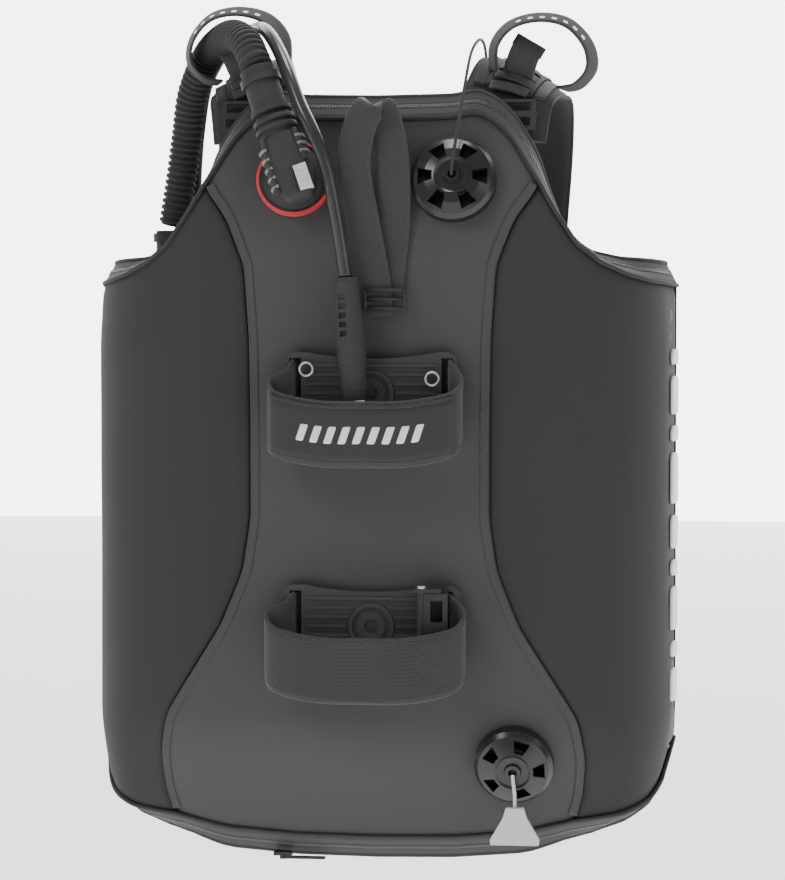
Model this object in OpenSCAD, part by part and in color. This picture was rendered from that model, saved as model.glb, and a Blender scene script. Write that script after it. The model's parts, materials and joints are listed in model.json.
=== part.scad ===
// Buoyancy compensator vest, back-inflation type, seen worn: +Y is the way the
// wearer faces, +X is the wearer's right, +Z is up.  The origin is the middle
// of the back pad's face that lies on the wearer.

/* [Wing] */
// Half width of the flat middle of the back
flat_half = 120; // [110:1:130]
// Radius that the sides are bent to
bend_r = 105; // [95:1:115]
// Depth of the wing from the wearer's back to its outermost face
wing_depth = 72; // [68:1:80]
// How far the face falls away near its top and bottom edges
edge_fall = 22; // [14:1:24]
// Thickness of the fabric panels
panel_t = 2.5; // [2:0.5:3]

/* [Tank fixings] */
// Width of the tank band webbing
band_w = 50; // [45:1:52]
// Height of the upper band's middle
upper_band_z = 36; // [30:1:42]
// Height of the lower band's middle
lower_band_z = -129; // [-135:1:-125]

/* [Valves] */
// Diameter of the shoulder dump valve
shoulder_valve_d = 65; // [60:1:68]
// Diameter of the lower dump valve
lower_valve_d = 60; // [56:1:62]
// Diameter of the ring round the hose port
port_d = 59; // [56:1:62]

/* [Hoses] */
// Outer diameter of the corrugated hose
hose_d = 25; // [23:1:27]
// Outer diameter of the low pressure hose
lp_d = 10.5; // [9:0.5:12]

/* [Straps] */
// Width of the shoulder pads
pad_w = 72; // [66:1:76]
// Width of the shoulder webbing
web_w = 38; // [36:1:40]
// Thickness of webbing
web_t = 2; // [1.5:0.1:2.5]

/* [Hidden] */

$fn = 48;
TURN = 80;           // how far each side turns round the wearer
FLANK_S = 300;       // length along the fabric from the middle to a flank's edge
SIDE_TOP = 225;      // height of the corner between centre and side panels
SIDE_BOTTOM = -262;
GAP = 0.4;           // air between fabric layers
CELL_BACK = 26;      // body panel's distance behind the wearer's back

function mix(a, b, t) = a + (b - a) * t;
function clamp(x) = min(1, max(0, x));
function smooth(x) = let (t = clamp(x)) t * t * (3 - 2 * t);
function unit(v) = v / norm(v);
function total(v) = v * [for (x = v) 1];

// Half width of the centre panel against height
SEAM_Z = [-262, -243, -215, -182, -148, -112, -70, -30, 42, 106, 163, 198, 225];
SEAM_S = [165, 170, 169, 160, 138, 115, 98, 92, 92, 93, 97, 111, 131];
function seam(z) = lookup(z, [for (i = [0:len(SEAM_Z) - 1]) [SEAM_Z[i], SEAM_S[i]]]);

// How far the middle of the centre panel reaches past its corners
function crown_top(s) =
    lookup(abs(s), [[0, 49], [60, 50], [80, 54], [95, 47], [108, 35], [121, 13], [131, 0]]);
function crown_bottom(s) = lookup(abs(s), [[0, 15], [60, 14], [110, 10], [165, 0]]);

// Side panel edges against the share of the way from seam to flank
function side_top(u) =
    lookup(u, [[0, SIDE_TOP], [0.07, 204], [0.17, 178], [0.29, 164], [0.44, 155], [0.62, 150], [1, 147]]);
function side_bottom(u) =
    lookup(u, [[0, SIDE_BOTTOM], [0.3, -258], [0.55, -250], [0.75, -238], [1, -208]]);

// Inward fall of the outer face near the top and bottom
function fall(z) = edge_fall * (smooth((z - 170) / 110) + smooth((-180 - z) / 95));

// Share of that fall left at length s, because the flanks keep their shape
function keep(s) = 1 - 0.75 * smooth((abs(s) - 140) / 90);

// Point of the wing at length s from the middle, height z, n inside the outermost face
function wing(s, z, n) =
    let (a = abs(s), side = s < 0 ? -1 : 1, r = bend_r - n,
         ang = min(TURN, max(0, a - flat_half) / bend_r * 180 / PI),
         past = max(0, a - flat_half - bend_r * TURN * PI / 180))
    [side * (min(a, flat_half) + r * sin(ang) + past * cos(TURN)),
     -wing_depth + bend_r - r * cos(ang) + past * sin(TURN), z];

// Depth of the wing's inner face, which draws in towards the flanks
function depth(s) = wing_depth - CELL_BACK - 36 * smooth((abs(s) - 190) / 100);
function outer(s, z, n) = wing(s, z, min(fall(z) * keep(s) + n, depth(s) - 5 + n * 0.2));

// Closed solid between two grids of points, wound either way
module slab(a, b) {
    nr = len(a);
    nc = len(a[0]);
    n = nr * nc;
    pts = concat([for (r = a) each r], [for (r = b) each r]);
    sheet = [for (i = [0:nr - 2], j = [0:nc - 2])
        each [[i * nc + j, i * nc + j + 1, (i + 1) * nc + j + 1],
              [i * nc + j, (i + 1) * nc + j + 1, (i + 1) * nc + j]]];
    rim = concat([for (j = [0:nc - 1]) j], [for (i = [1:nr - 1]) i * nc + nc - 1],
                 [for (j = [nc - 2:-1:0]) (nr - 1) * nc + j], [for (i = [nr - 2:-1:1]) i * nc]);
    wall = [for (k = [0:len(rim) - 1]) let (p = rim[k], q = rim[(k + 1) % len(rim)])
        each [[q, p, p + n], [q, p + n, q + n]]];
    back = [for (f = sheet) [f[2] + n, f[1] + n, f[0] + n]];
    closed(pts, concat(sheet, back, wall));
}

// Closed solid through rings of points, each ring convex
module skin(rings) {
    m = len(rings[0]);
    last = (len(rings) - 1) * m;
    pts = [for (r = rings) each r];
    side = [for (i = [0:len(rings) - 2], j = [0:m - 1]) let (k = (j + 1) % m)
        each [[i * m + j, i * m + k, (i + 1) * m + k], [i * m + j, (i + 1) * m + k, (i + 1) * m + j]]];
    caps = [for (j = [1:m - 2]) each [[0, j + 1, j], [last, last + j, last + j + 1]]];
    closed(pts, concat(side, caps));
}

// A polyhedron turned right side out
module closed(pts, faces) {
    volume = total([for (f = faces) pts[f[0]] * cross(pts[f[1]], pts[f[2]])]);
    polyhedron(pts, volume < 0 ? faces : [for (f = faces) [f[2], f[1], f[0]]], convexity = 6);
}

// Direction of a route at point i
function heading(p, i) = unit(p[min(i + 1, len(p) - 1)] - p[max(i - 1, 0)]);

// Smooth route through hand-chosen points, k pieces between each two
function curve(p, k) = concat(
    [for (i = [0:len(p) - 2], j = [0:k - 1])
        let (t = j / k, a = p[max(i - 1, 0)], b = p[i], c = p[i + 1], d = p[min(i + 2, len(p) - 1)])
        0.5 * (2 * b + (c - a) * t + (2 * a - 5 * b + 4 * c - d) * t * t
               + (3 * b - 3 * c + d - a) * t * t * t)],
    [p[len(p) - 1]]);

// Round tube of diameter d along points p
module tube(p, d, sides = 10) {
    skin([for (i = [0:len(p) - 1])
        let (t = heading(p, i), u = unit(cross(t, abs(t[0]) < 0.9 ? [1, 0, 0] : [0, 1, 0])), v = cross(t, u))
        [for (j = [0:sides - 1]) p[i] + d / 2 * (u * cos(360 * j / sides) + v * sin(360 * j / sides))]]);
}

// Flat band along points p; across holds its width direction at each point
module band(p, across, w, t) {
    skin([for (i = [0:len(p) - 1])
        let (h = heading(p, i), a = unit(across[i] - h * (across[i] * h)), u = cross(h, a))
        [p[i] + a * w / 2 + u * t / 2, p[i] - a * w / 2 + u * t / 2,
         p[i] - a * w / 2 - u * t / 2, p[i] + a * w / 2 - u * t / 2]]);
}

// Band whose width stays along one direction
module straight_band(p, dir, w, t) { band(p, [for (q = p) dir], w, t); }

// Band whose width stays upright, however its route rises or falls
module upright_band(p, w, t) {
    skin([for (i = [0:len(p) - 1])
        let (h = heading(p, i), u = unit([h[1], -h[0], 0]) * t / 2, a = [0, 0, w / 2])
        [p[i] + a + u, p[i] - a + u, p[i] - a - u, p[i] + a - u]]);
}

module both_sides() { children(); mirror([1, 0, 0]) children(); }

// ---- wing ---------------------------------------------------------------

CENTRE_COLS = 14;
CENTRE_ROWS = 26;
SIDE_COLS = 12;
SIDE_ROWS = 26;

// Point of the centre panel: u from -1 to 1 across, v from 0 to 1 up
function centre_sz(u, v) =
    let (row = mix(SIDE_BOTTOM, SIDE_TOP, v), s = u * (seam(row) - GAP),
         edge = u * seam(v < 0.5 ? SIDE_BOTTOM : SIDE_TOP))
    [s, row + crown_top(edge) * pow(v, 6) - crown_bottom(edge) * pow(1 - v, 6)];

// Point of a side panel: u from 0 at the seam to 1 at the flank
function side_sz(u, v) =
    [mix(seam(mix(SIDE_BOTTOM, SIDE_TOP, v)) + GAP, FLANK_S, u), mix(side_bottom(u), side_top(u), v)];

// Every length across the whole back at share v of the height, grown by g at the ends
function back_sz(w, v, g) =
    let (q = abs(w) * 2, side = w < 0 ? -1 : 1,
         p = q < 1 ? centre_sz(side * q, v) : let (e = side_sz(q - 1, v)) [side * e[0], e[1]])
    [p[0], p[1] + g * (v < 0.5 ? -pow(1 - v, 8) : pow(v, 8))];

module rear_panel_center() {
    color([0.25, 0.25, 0.25]) slab(
        [for (i = [0:CENTRE_ROWS]) [for (j = [0:CENTRE_COLS])
            let (p = centre_sz(2 * j / CENTRE_COLS - 1, i / CENTRE_ROWS)) outer(p[0], p[1], 0)]],
        [for (i = [0:CENTRE_ROWS]) [for (j = [0:CENTRE_COLS])
            let (p = centre_sz(2 * j / CENTRE_COLS - 1, i / CENTRE_ROWS)) outer(p[0], p[1], panel_t)]]);
}

module rear_panel_side() {
    color([0.16, 0.16, 0.16]) slab(
        [for (i = [0:SIDE_ROWS]) [for (j = [0:SIDE_COLS])
            let (p = side_sz(j / SIDE_COLS, i / SIDE_ROWS)) outer(p[0], p[1], 0)]],
        [for (i = [0:SIDE_ROWS]) [for (j = [0:SIDE_COLS])
            let (p = side_sz(j / SIDE_COLS, i / SIDE_ROWS)) outer(p[0], p[1], panel_t)]]);
}

module rear_side_panels() { both_sides() rear_panel_side(); }

EDGE_STEPS = 36;       // pieces along each of the two long edges
BODY_GROW = 18;        // how far the wearer-side panel stands past the rear panel

// Points along the upper (v = 1) or lower (v = 0) edge of the wing, at share
// t of the way from the rear panel to the wearer-side panel, m inside the edge
function edge_run(v, t, m) = [for (j = [0:EDGE_STEPS])
    let (w = 2 * j / EDGE_STEPS - 1, p = back_sz(w, v, t * BODY_GROW - m),
         a = outer(p[0], p[1], 0), b = wing(p[0], p[1], depth(p[0])), q = back_sz(w, v, 0),
         root = outer(q[0], q[1], 0))
    [mix(root[0], b[0], t), mix(root[1], b[1], t), p[1]]];

// Strip of the edge between shares t0 and t1 of the depth, from m0 to m1 inside it
module edge_strip(v, t0, t1, m0, m1) {
    slab([edge_run(v, t0, m0), edge_run(v, t1, m0)], [edge_run(v, t0, m1), edge_run(v, t1, m1)]);
}

module zip_gusset() {
    color([0.2, 0.2, 0.2]) for (v = [0, 1]) {
        edge_strip(v, 0.1, 0.36, -1.5, 0.5);
        edge_strip(v, 0.6, 0.97, -1.5, 0.5);
    }
}

module zip_chain() {
    color([0.1, 0.1, 0.1]) for (v = [0, 1]) edge_strip(v, 0.38, 0.58, -1.2, 0.6);
}

CELL_COLS = 18;
CELL_ROWS = 14;

// Point of the whole back drawn in from its edges
function inner_sz(i, j, rows, cols) =
    let (v = mix(0.035, 0.965, i / rows), w = (2 * j / cols - 1) * 0.95) back_sz(w, v, -6);

module air_cell() {
    color([0.35, 0.35, 0.4]) slab(
        [for (i = [0:CELL_ROWS]) [for (j = [0:CELL_COLS])
            let (p = inner_sz(i, j, CELL_ROWS, CELL_COLS)) wing(p[0], p[1],
                min(fall(p[1]) * keep(p[0]) + panel_t, depth(p[0]) - 5) + 1.5)]],
        [for (i = [0:CELL_ROWS]) [for (j = [0:CELL_COLS])
            let (p = inner_sz(i, j, CELL_ROWS, CELL_COLS)) wing(p[0], p[1],
                depth(p[0]) - 4 - 4 * smooth((abs(p[0]) - 170) / 60))]]);
}

// Wearer-side fabric panel, past the rear panel by the gusset's slope
module body_panel() {
    function at(i, j, n) = let (w = 2 * j / 24 - 1, p = back_sz(w, i / 18, BODY_GROW))
        wing(p[0], p[1], depth(p[0]) + n);
    color([0.13, 0.13, 0.13]) slab(
        [for (i = [0:18]) [for (j = [0:24]) at(i, j, 0)]],
        [for (i = [0:18]) [for (j = [0:24]) at(i, j, panel_t - 0.5)]]);
}

// Flat plate that keeps the back in shape, with its lightening slots
module stiffener_plate() {
    color([0.1, 0.1, 0.1]) translate([0, -CELL_BACK + 3.4, 0]) rotate([90, 0, 0])
        translate([0, 0, -1.2]) linear_extrude(2.4) difference() {
            translate([-90, -190]) square([180, 440]);
            for (z = [-130, 60], x = [-50, 50]) translate([x - 15, z - 4]) square([30, 8]);
        }
}

PAD_ROWS = 10;
PAD_COLS = 8;

// Pillow from x -w to w and z lo to hi, standing h off the plane y = back
module pillow(w, lo, hi, back, h) {
    function at(i, j, n) = let (u = 2 * j / PAD_COLS - 1, v = 2 * i / PAD_ROWS - 1,
        rim = (1 - pow(u, 6)) * (1 - pow(v, 8)))
        [u * w * (1 - 0.06 * v * v), back + n * (3 + (h - 3) * rim), mix(lo, hi, (v + 1) / 2)];
    slab([for (i = [0:PAD_ROWS]) [for (j = [0:PAD_COLS]) at(i, j, 0)]],
         [for (i = [0:PAD_ROWS]) [for (j = [0:PAD_COLS]) at(i, j, 1)]]);
}

// Back pad above and lumbar pad below
module back_pads() {
    color([0.15, 0.15, 0.15]) {
        pillow(95, -75, 225, -21, 21);
        pillow(88, -225, -82, -21, 21);
    }
}

// ---- zip slider ---------------------------------------------------------

ZIP_X = -72;           // slider at rest along the bottom run
ZIP_Y = -37;
ZIP_Z = -292;

module zip_slider() {
    color([0.12, 0.12, 0.12]) translate([ZIP_X, ZIP_Y, ZIP_Z]) {
        translate([-7, -5, -3]) cube([14, 10, 2.6]);
        translate([-2.5, -1.4, -6.2]) difference() {
            cube([5, 2.8, 3.2]);
            translate([2.5, 4, 1.4]) rotate([90, 0, 0]) cylinder(h = 6, d = 1.9);
        }
    }
}

// Puller on a pin through the slider's eye, lying along the zip
module zip_puller() {
    color([0.14, 0.14, 0.14]) translate([ZIP_X, ZIP_Y, ZIP_Z - 4.8]) {
        rotate([90, 0, 0]) translate([0, 0, -3]) cylinder(h = 6, d = 1.7);
        for (y = [-3, 1.8]) translate([0, y, -0.85]) cube([8, 1.2, 1.7]);
        translate([7, -3, -0.85]) cube([26, 6, 1.7]);
    }
}

// ---- tank fixings -------------------------------------------------------

BACK_Y = -wing_depth;
PAD_X = 3;             // tank pads sit a little right of the middle
PAD_FACE = BACK_Y - 11;
PAD_T = 7;
SLOT_X = 58;
SLOT_H = 53;
SLOT_W = 9;
UPPER_PAD_Z = 66;
LOWER_PAD_Z = -111;

// Moulded rubber pad: dipped top and bottom, band slots, ribs and a round boss
module tank_pad(w, z) {
    h = 62;
    dip_r = 260;
    translate([PAD_X, PAD_FACE, z]) rotate([90, 0, 0]) color([0.17, 0.17, 0.17]) {
        translate([0, 0, -PAD_T]) linear_extrude(PAD_T) difference() {
            union() {
                square([w - 16, h], center = true);
                square([w, h - 16], center = true);
                for (x = [-1, 1], y = [-1, 1]) translate([x * (w / 2 - 8), y * (h / 2 - 8)]) circle(8);
            }
            for (y = [-1, 1]) translate([0, y * (dip_r + h / 2 - 5)]) circle(dip_r, $fn = 90);
            for (x = [-1, 1]) translate([x * SLOT_X - SLOT_W / 2, -SLOT_H / 2]) square([SLOT_W, SLOT_H]);
        }
        linear_extrude(1.2) difference() {
            for (i = [-3:3]) translate([-50, i * 7 - 1.3]) square([100, 2.6]);
            circle(18.5);
        }
        difference() {
            translate([0, 0, -0.1]) cylinder(h = 1.7, r = 17.5);
            cylinder(h = 3, r = 14.5);
        }
        difference() {
            translate([0, 0, -0.1]) cylinder(h = 1.3, r = 11);
            cylinder(h = 3, r = 5);
        }
    }
}

module upper_tank_pad() { tank_pad(130, UPPER_PAD_Z); }
module lower_tank_pad() { tank_pad(137, LOWER_PAD_Z); }

// Route of a band: behind the pad, out through both slots and round the tank side
function band_route(zs, zf, reach, wide) = let (b = BACK_Y - 2, o = BACK_Y - 7.5) [
    [PAD_X, b, zs], [PAD_X + 30, b, zs], [PAD_X + 50, b, zs], [PAD_X + 57, b - 0.8, zs],
    [PAD_X + SLOT_X + 1.5, b - 4.5, zs], [PAD_X + SLOT_X + 2.3, b - 10, zs],
    [wide + 2, b - 16, mix(zs, zf, 0.2)], [wide + 6, o - 17, mix(zs, zf, 0.45)],
    [wide, o - 29, mix(zs, zf, 0.75)], [wide - 20, reach + 6, mix(zs, zf, 0.92)],
    [wide - 42, reach + 2, zf], [0, reach, zf], [42 - wide, reach + 2, zf],
    [20 - wide, reach + 6, mix(zs, zf, 0.92)], [-wide, o - 29, mix(zs, zf, 0.75)],
    [-wide - 6, o - 17, mix(zs, zf, 0.45)], [6 - wide, b - 16, mix(zs, zf, 0.2)],
    [PAD_X - SLOT_X - 2.3, b - 10, zs], [PAD_X - SLOT_X - 1.5, b - 4.5, zs],
    [PAD_X - 57, b - 0.8, zs], [PAD_X - 50, b, zs], [PAD_X - 30, b, zs], [PAD_X - 2, b, zs]];

UPPER_ROUTE = band_route(UPPER_PAD_Z, upper_band_z, -120, 67);
LOWER_ROUTE = band_route(LOWER_PAD_Z, lower_band_z - 12, -124, 69);

module upper_tank_band() {
    color([0.28, 0.28, 0.28]) upright_band(curve(UPPER_ROUTE, 3), band_w, web_t);
}

module lower_cam_band() {
    color([0.3, 0.3, 0.3]) upright_band(curve(LOWER_ROUTE, 3), band_w, web_t + 0.6);
}

// Printed sleeve round the front of the upper band, open at both ends
module band_sleeve() {
    face = [for (p = curve([for (i = [9:13]) UPPER_ROUTE[i]], 3)) p + [0, -2.2, -0.5]];
    color([0.27, 0.26, 0.26]) upright_band(face, band_w - 6, 1.6);
}

// Wire keeper rings at the band slots
module band_keeper_rings() {
    color([0.7, 0.7, 0.72]) for (c = [[-46, -88, 84], [50, -88, 77]])
        translate(c) rotate([90, 20, 0]) rotate_extrude() translate([5, 0]) circle(0.9);
}

// Cam buckle: a frame with two ears, and a lever on a pin between them
CAM_PIN = [43, -96, -110];
CAM_H = 52;
CAM_PIN_D = 4;
CAM_FIT = 0.1;

module cam_buckle_frame() {
    color([0.14, 0.14, 0.14]) difference() {
        union() {
            translate([CAM_PIN[0] - 5, -88, CAM_PIN[2] - CAM_H / 2 - 3]) cube([24, 3, CAM_H + 6]);
            for (s = [-1, 1]) translate([CAM_PIN[0] - 5, -100, CAM_PIN[2] + s * (CAM_H / 2 + 1.5) - 1.5])
                cube([20, 12.5, 3]);
        }
        for (z = [-13, 13]) translate([CAM_PIN[0] + 2, -90, CAM_PIN[2] + z - 9]) cube([14, 6, 18]);
        translate([CAM_PIN[0], CAM_PIN[1], CAM_PIN[2] - 40])
            cylinder(h = 80, d = CAM_PIN_D + 2 * CAM_FIT - 0.16);
    }
}

module cam_lever() {
    color([0.75, 0.75, 0.77]) translate(CAM_PIN) difference() {
        union() {
            translate([0, 0, -CAM_H / 2 + 0.6]) cylinder(h = CAM_H - 1.2, d = 7);
            translate([2, -3.2, -CAM_H / 2 + 0.6]) cube([18, 2.6, CAM_H - 1.2]);
        }
        translate([0, 0, -CAM_H]) cylinder(h = 2 * CAM_H, d = CAM_PIN_D + 2 * CAM_FIT);
        for (z = [-12, 12]) translate([7, -5, z - 8]) cube([9, 6, 16]);
    }
}

module cam_lever_pin() {
    color([0.8, 0.8, 0.82]) translate(CAM_PIN) {
        translate([0, 0, -CAM_H / 2 - 3]) cylinder(h = CAM_H + 6, d = CAM_PIN_D);
        for (s = [-1, 1]) translate([0, 0, s * (CAM_H / 2 + 4) - 1]) cylinder(h = 2, d = 7);
    }
}

// Grab strap: a webbing loop hung from the top, its ends sewn to the back
GRAB_ROUTE = [[6, -80, 124], [5, -80, 150], [-3, -83, 195], [-10, -84, 238], [-5, -86, 268],
    [2, -85, 281], [7, -82, 283], [12, -78, 275], [19, -77, 240], [19, -76, 190],
    [15, -76, 155], [13, -76, 126]];

module grab_strap() {
    color([0.24, 0.24, 0.24]) straight_band(curve(GRAB_ROUTE, 4), [1, 0, 0], 25, 1.6);
}

// ---- dump valves --------------------------------------------------------

SHOULDER_VALVE = [64, -62.5, 226];
LOWER_VALVE = [111, -67, -215];
PORT = [-58, -62.5, 228];
SHOULDER_TILT = 74;    // turns a valve's axis from +Z to the outward normal
LOWER_TILT = 108;
WALL = 2.4;
HUB_Z = 14;            // underside of the cover's hub
STEM_R = 2.6;

module at_shoulder_valve() { translate(SHOULDER_VALVE) rotate([SHOULDER_TILT, 0, 0]) children(); }
module at_lower_valve() { translate(LOWER_VALVE) rotate([LOWER_TILT, 0, 0]) children(); }
module at_port() { translate(PORT) rotate([SHOULDER_TILT, 0, 0]) children(); }

// Foot: flange, upstand for the cover and a seat with vent holes round it
module valve_base(r) {
    color([0.12, 0.12, 0.12]) difference() {
        union() {
            cylinder(h = 3, r = r);
            cylinder(h = 9, r = r - WALL - 1);
        }
        translate([0, 0, 3]) cylinder(h = 9, r = r - 2 * WALL - 1);
        translate([0, 0, -1]) cylinder(h = 6, r = 9);
    }
}

// Domed cap with window gaps between its blades, and a hub the cord comes out of
module valve_cover(r, windows) {
    color([0.1, 0.1, 0.1]) difference() {
        union() {
            rotate_extrude() polygon([[STEM_R + 0.7, HUB_Z], [12, HUB_Z], [r - 9, 11], [r - WALL, 8.5],
                [r - WALL, 3.05], [r, 3.05], [r, 9.5], [r - 3, 13], [r - 11, 16.5], [14, 18.5],
                [12, 17.4], [STEM_R + 0.7, 17.4]]);
            rotate_extrude() polygon([[STEM_R + 0.7, 17], [7, 17], [6, 20], [STEM_R + 0.7, 20]]);
        }
        for (i = [0:windows - 1]) rotate([0, 0, i * 360 / windows])
            translate([0, 0, 5]) linear_extrude(20) difference() {
                polygon([[15, -3.2], [r - 6, -6.5], [r - 6, 6.5], [15, 3.2]]);
                circle(15.5);
            }
    }
}

// Disc that seals the foot's hole, on a hollow stem that guides the cord
module valve_poppet() {
    color([0.55, 0.55, 0.55]) difference() {
        union() {
            translate([0, 0, 3.1]) cylinder(h = 2.4, r = 13);
            cylinder(h = 11.5, r = STEM_R);
        }
        translate([0, 0, 6]) cylinder(h = 8, r = 1.7);
    }
}

// Spring between the poppet's disc and the hub, as its outer shape
module valve_spring() {
    color([0.7, 0.7, 0.7]) translate([0, 0, 5.6]) difference() {
        cylinder(h = HUB_Z - 5.7, r = 9);
        translate([0, 0, -1]) cylinder(h = 20, r = 7.4);
    }
}

module shoulder_valve_base() { at_shoulder_valve() valve_base(shoulder_valve_d / 2); }
module shoulder_valve_cover() { at_shoulder_valve() valve_cover(shoulder_valve_d / 2, 6); }
module shoulder_valve_poppet() { at_shoulder_valve() valve_poppet(); }
module shoulder_valve_spring() { at_shoulder_valve() valve_spring(); }
module lower_valve_base() { at_lower_valve() valve_base(lower_valve_d / 2); }
module lower_valve_cover() { at_lower_valve() valve_cover(lower_valve_d / 2, 5); }
module lower_valve_poppet() { at_lower_valve() valve_poppet(); }
module lower_valve_spring() { at_lower_valve() valve_spring(); }

// Cord from the shoulder valve's hub over the right shoulder to its knob
PULL_CORD = [[64, -79, 231], [64, -84, 232.6], [65, -86, 240], [67, -82, 256], [70, -70, 282],
    [72, -50, 307], [73, -24, 326], [75, 4, 337], [76, 34, 340], [76, 62, 334], [75, 88, 314],
    [74, 105, 284], [73, 113, 254], [72, 115, 228], [72, 115, 214], [72, 115, 200]];
CORD_D = 2.6;
KNOB = [72, 115, 205];

module shoulder_pull_cord() { color([0.1, 0.1, 0.1]) tube(curve(PULL_CORD, 3), CORD_D, 8); }

// Ball knob with a deep bore that the cord hangs in
module shoulder_pull_knob() {
    color([0.15, 0.15, 0.15]) translate(KNOB) rotate_extrude()
        polygon([[0, -24], [5, -24], [9, -20], [9.5, -14], [6.5, -6], [5, 4], [2, 4], [2, -16], [0, -16]]);
}

// Lower knob: a flared tag with its own short cord, which the valve's hub guides
LOWER_KNOB = [113, -88.5, -247];

module lower_pull_knob() {
    color([0.74, 0.73, 0.72]) {
        translate(LOWER_KNOB) rotate([90, 0, 0]) translate([0, 0, -4]) linear_extrude(8)
            polygon([[-6.5, 0], [6.5, 0], [9, -8], [18.5, -24], [18, -28], [-18, -28], [-18.5, -24], [-9, -8]]);
        tube([LOWER_KNOB + [0, 0, -2], LOWER_KNOB + [0, 0, 10], [112, -89, -229], [111.3, -88.8, -222]],
             CORD_D, 8);
    }
}

// ---- hose port, elbow and inflator --------------------------------------

ELBOW_LEAN = 20;
ELBOW_Z = 26;          // height of the elbow's bore above the port's foot
LATCH = [3, -23, 34];  // latch corner in the elbow's own frame
LATCH_SIZE = [10, 19, 8];
LATCH_TRAVEL = 3;

module at_elbow() { at_port() rotate([0, 0, ELBOW_LEAN]) children(); }

module port_base() {
    color([0.12, 0.12, 0.12]) at_port() difference() {
        union() {
            cylinder(h = 4, r = port_d / 2 - 2.5);
            rotate_extrude() polygon([[0, 3.9], [25, 3.9], [23, 8], [17, 11.5], [0, 11.5]]);
        }
        translate([0, 0, -1]) cylinder(h = 14, r = 9);
    }
}

module port_ring() {
    color([0.72, 0.12, 0.15]) at_port() rotate_extrude()
        polygon([[port_d / 2 - 2.3, 0], [port_d / 2, 0], [port_d / 2, 4.4], [port_d / 2 - 2.3, 4.8]]);
}

module hose_elbow() {
    color([0.13, 0.13, 0.13]) at_elbow() difference() {
        union() {
            translate([0, 0, 11.6]) cylinder(h = 16, r = 15);
            translate([0, 0, ELBOW_Z]) rotate([-90, 0, 0]) cylinder(h = 46, r = 13.5);
            translate([0, 0, 17]) linear_extrude(21) union() {
                square([34, 34], center = true);
                translate([-12, -27]) square([24, 56]);
                for (x = [-12, 12]) translate([x, -17]) circle(5);
            }
            for (y = [33, 40]) translate([0, y, ELBOW_Z]) rotate([-90, 0, 0]) cylinder(h = 3.5, r = 16.5);
            for (s = [-1, 1], i = [0:4]) translate([s * 17 - 1.5, i * 6 - 15, 22]) cube([3, 3.6, 13]);
        }
        translate(LATCH - [0.3, 0.3, LATCH_TRAVEL + 0.6]) cube(LATCH_SIZE + [0.6, 0.6, 12]);
        translate([0, 30, ELBOW_Z]) rotate([-90, 0, 0]) cylinder(h = 20, r = 9);
    }
}

module elbow_latch() {
    color([0.82, 0.82, 0.82]) at_elbow() translate(LATCH) {
        cube(LATCH_SIZE);
        for (i = [0:3]) translate([1, 3 + i * 4, LATCH_SIZE[2] - 0.1]) cube([8, 1.4, 0.9]);
    }
}

CUFF_D = 27;

module hose_cuff() {
    color([0.14, 0.14, 0.14]) at_elbow() translate([0, 46.1, ELBOW_Z]) rotate([-90, 0, 0])
        difference() {
            union() {
                cylinder(h = 38, d = CUFF_D);
                cylinder(h = 4, d = CUFF_D + 4);
            }
            translate([0, 0, -1]) cylinder(h = 42, d = CUFF_D - 9);
        }
}

// Corrugated hose over the left shoulder down to the inflator
HOSE_ROUTE = [[-87, -65, 314], [-91, -61, 322], [-98, -49, 333], [-111, -26, 341], [-126, 1, 339],
    [-142, 25, 327], [-157, 44, 299], [-164, 56, 266], [-170, 64, 234], [-175, 69.2, 209],
    [-177.3, 71.4, 197]];

module corrugated_hose() { color([0.16, 0.16, 0.16]) tube(curve(HOSE_ROUTE, 4), hose_d, 12); }

INFLATOR = [-178, 72];
INFLATOR_TOP = 192;
INFLATOR_FOOT = 84;

module at_inflator(z) { translate([INFLATOR[0], INFLATOR[1], z]) children(); }

// Clamp bands at both ends of the corrugated hose
module hose_clamps() {
    color([0.1, 0.1, 0.1]) {
        at_elbow() translate([0, 71, ELBOW_Z]) rotate([-90, 0, 0]) ring(CUFF_D + 0.3, CUFF_D + 4.5, 6);
        at_inflator(INFLATOR_TOP - 9) ring(28.4, 32.5, 7);
    }
}

module ring(inner, outer, h) {
    difference() {
        cylinder(h = h, d = outer);
        translate([0, 0, -1]) cylinder(h = h + 2, d = inner);
    }
}

LP_END = [-162, 91];
NIPPLE_Z = 138;
INFLATE_Z = 128;
BUTTON_R = 8;

module inflator_body() {
    color([0.13, 0.13, 0.13]) difference() {
        union() {
            at_inflator(INFLATOR_TOP - 22) cylinder(h = 22, r = 14);
            at_inflator(INFLATOR_FOOT) cylinder(h = INFLATOR_TOP - 22 - INFLATOR_FOOT, r = 15.5);
            translate([LP_END[0], LP_END[1], NIPPLE_Z - 16]) cylinder(h = 18, r = 8);
            translate([LP_END[0], LP_END[1], NIPPLE_Z]) cylinder(h = 18, r = 4);
            at_inflator(NIPPLE_Z - 16) rotate([0, 0, 50]) translate([0, -8, 0]) cube([24, 16, 14]);
            at_inflator(INFLATE_Z) rotate([-90, 0, 100]) cylinder(h = 19, r = 11);
        }
        at_inflator(INFLATE_Z) rotate([-90, 0, 100]) translate([0, 0, 12]) cylinder(h = 10, r = BUTTON_R + 0.1);
        at_inflator(INFLATOR_FOOT - 1) cylinder(h = 11, r = 10.1);
    }
}

// Side button that lets gas in, pressed towards the body
module inflate_button() {
    color([0.7, 0.1, 0.1]) at_inflator(INFLATE_Z) rotate([-90, 0, 100])
        translate([0, 0, 15.5]) cylinder(h = 8, r = BUTTON_R);
}

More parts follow.
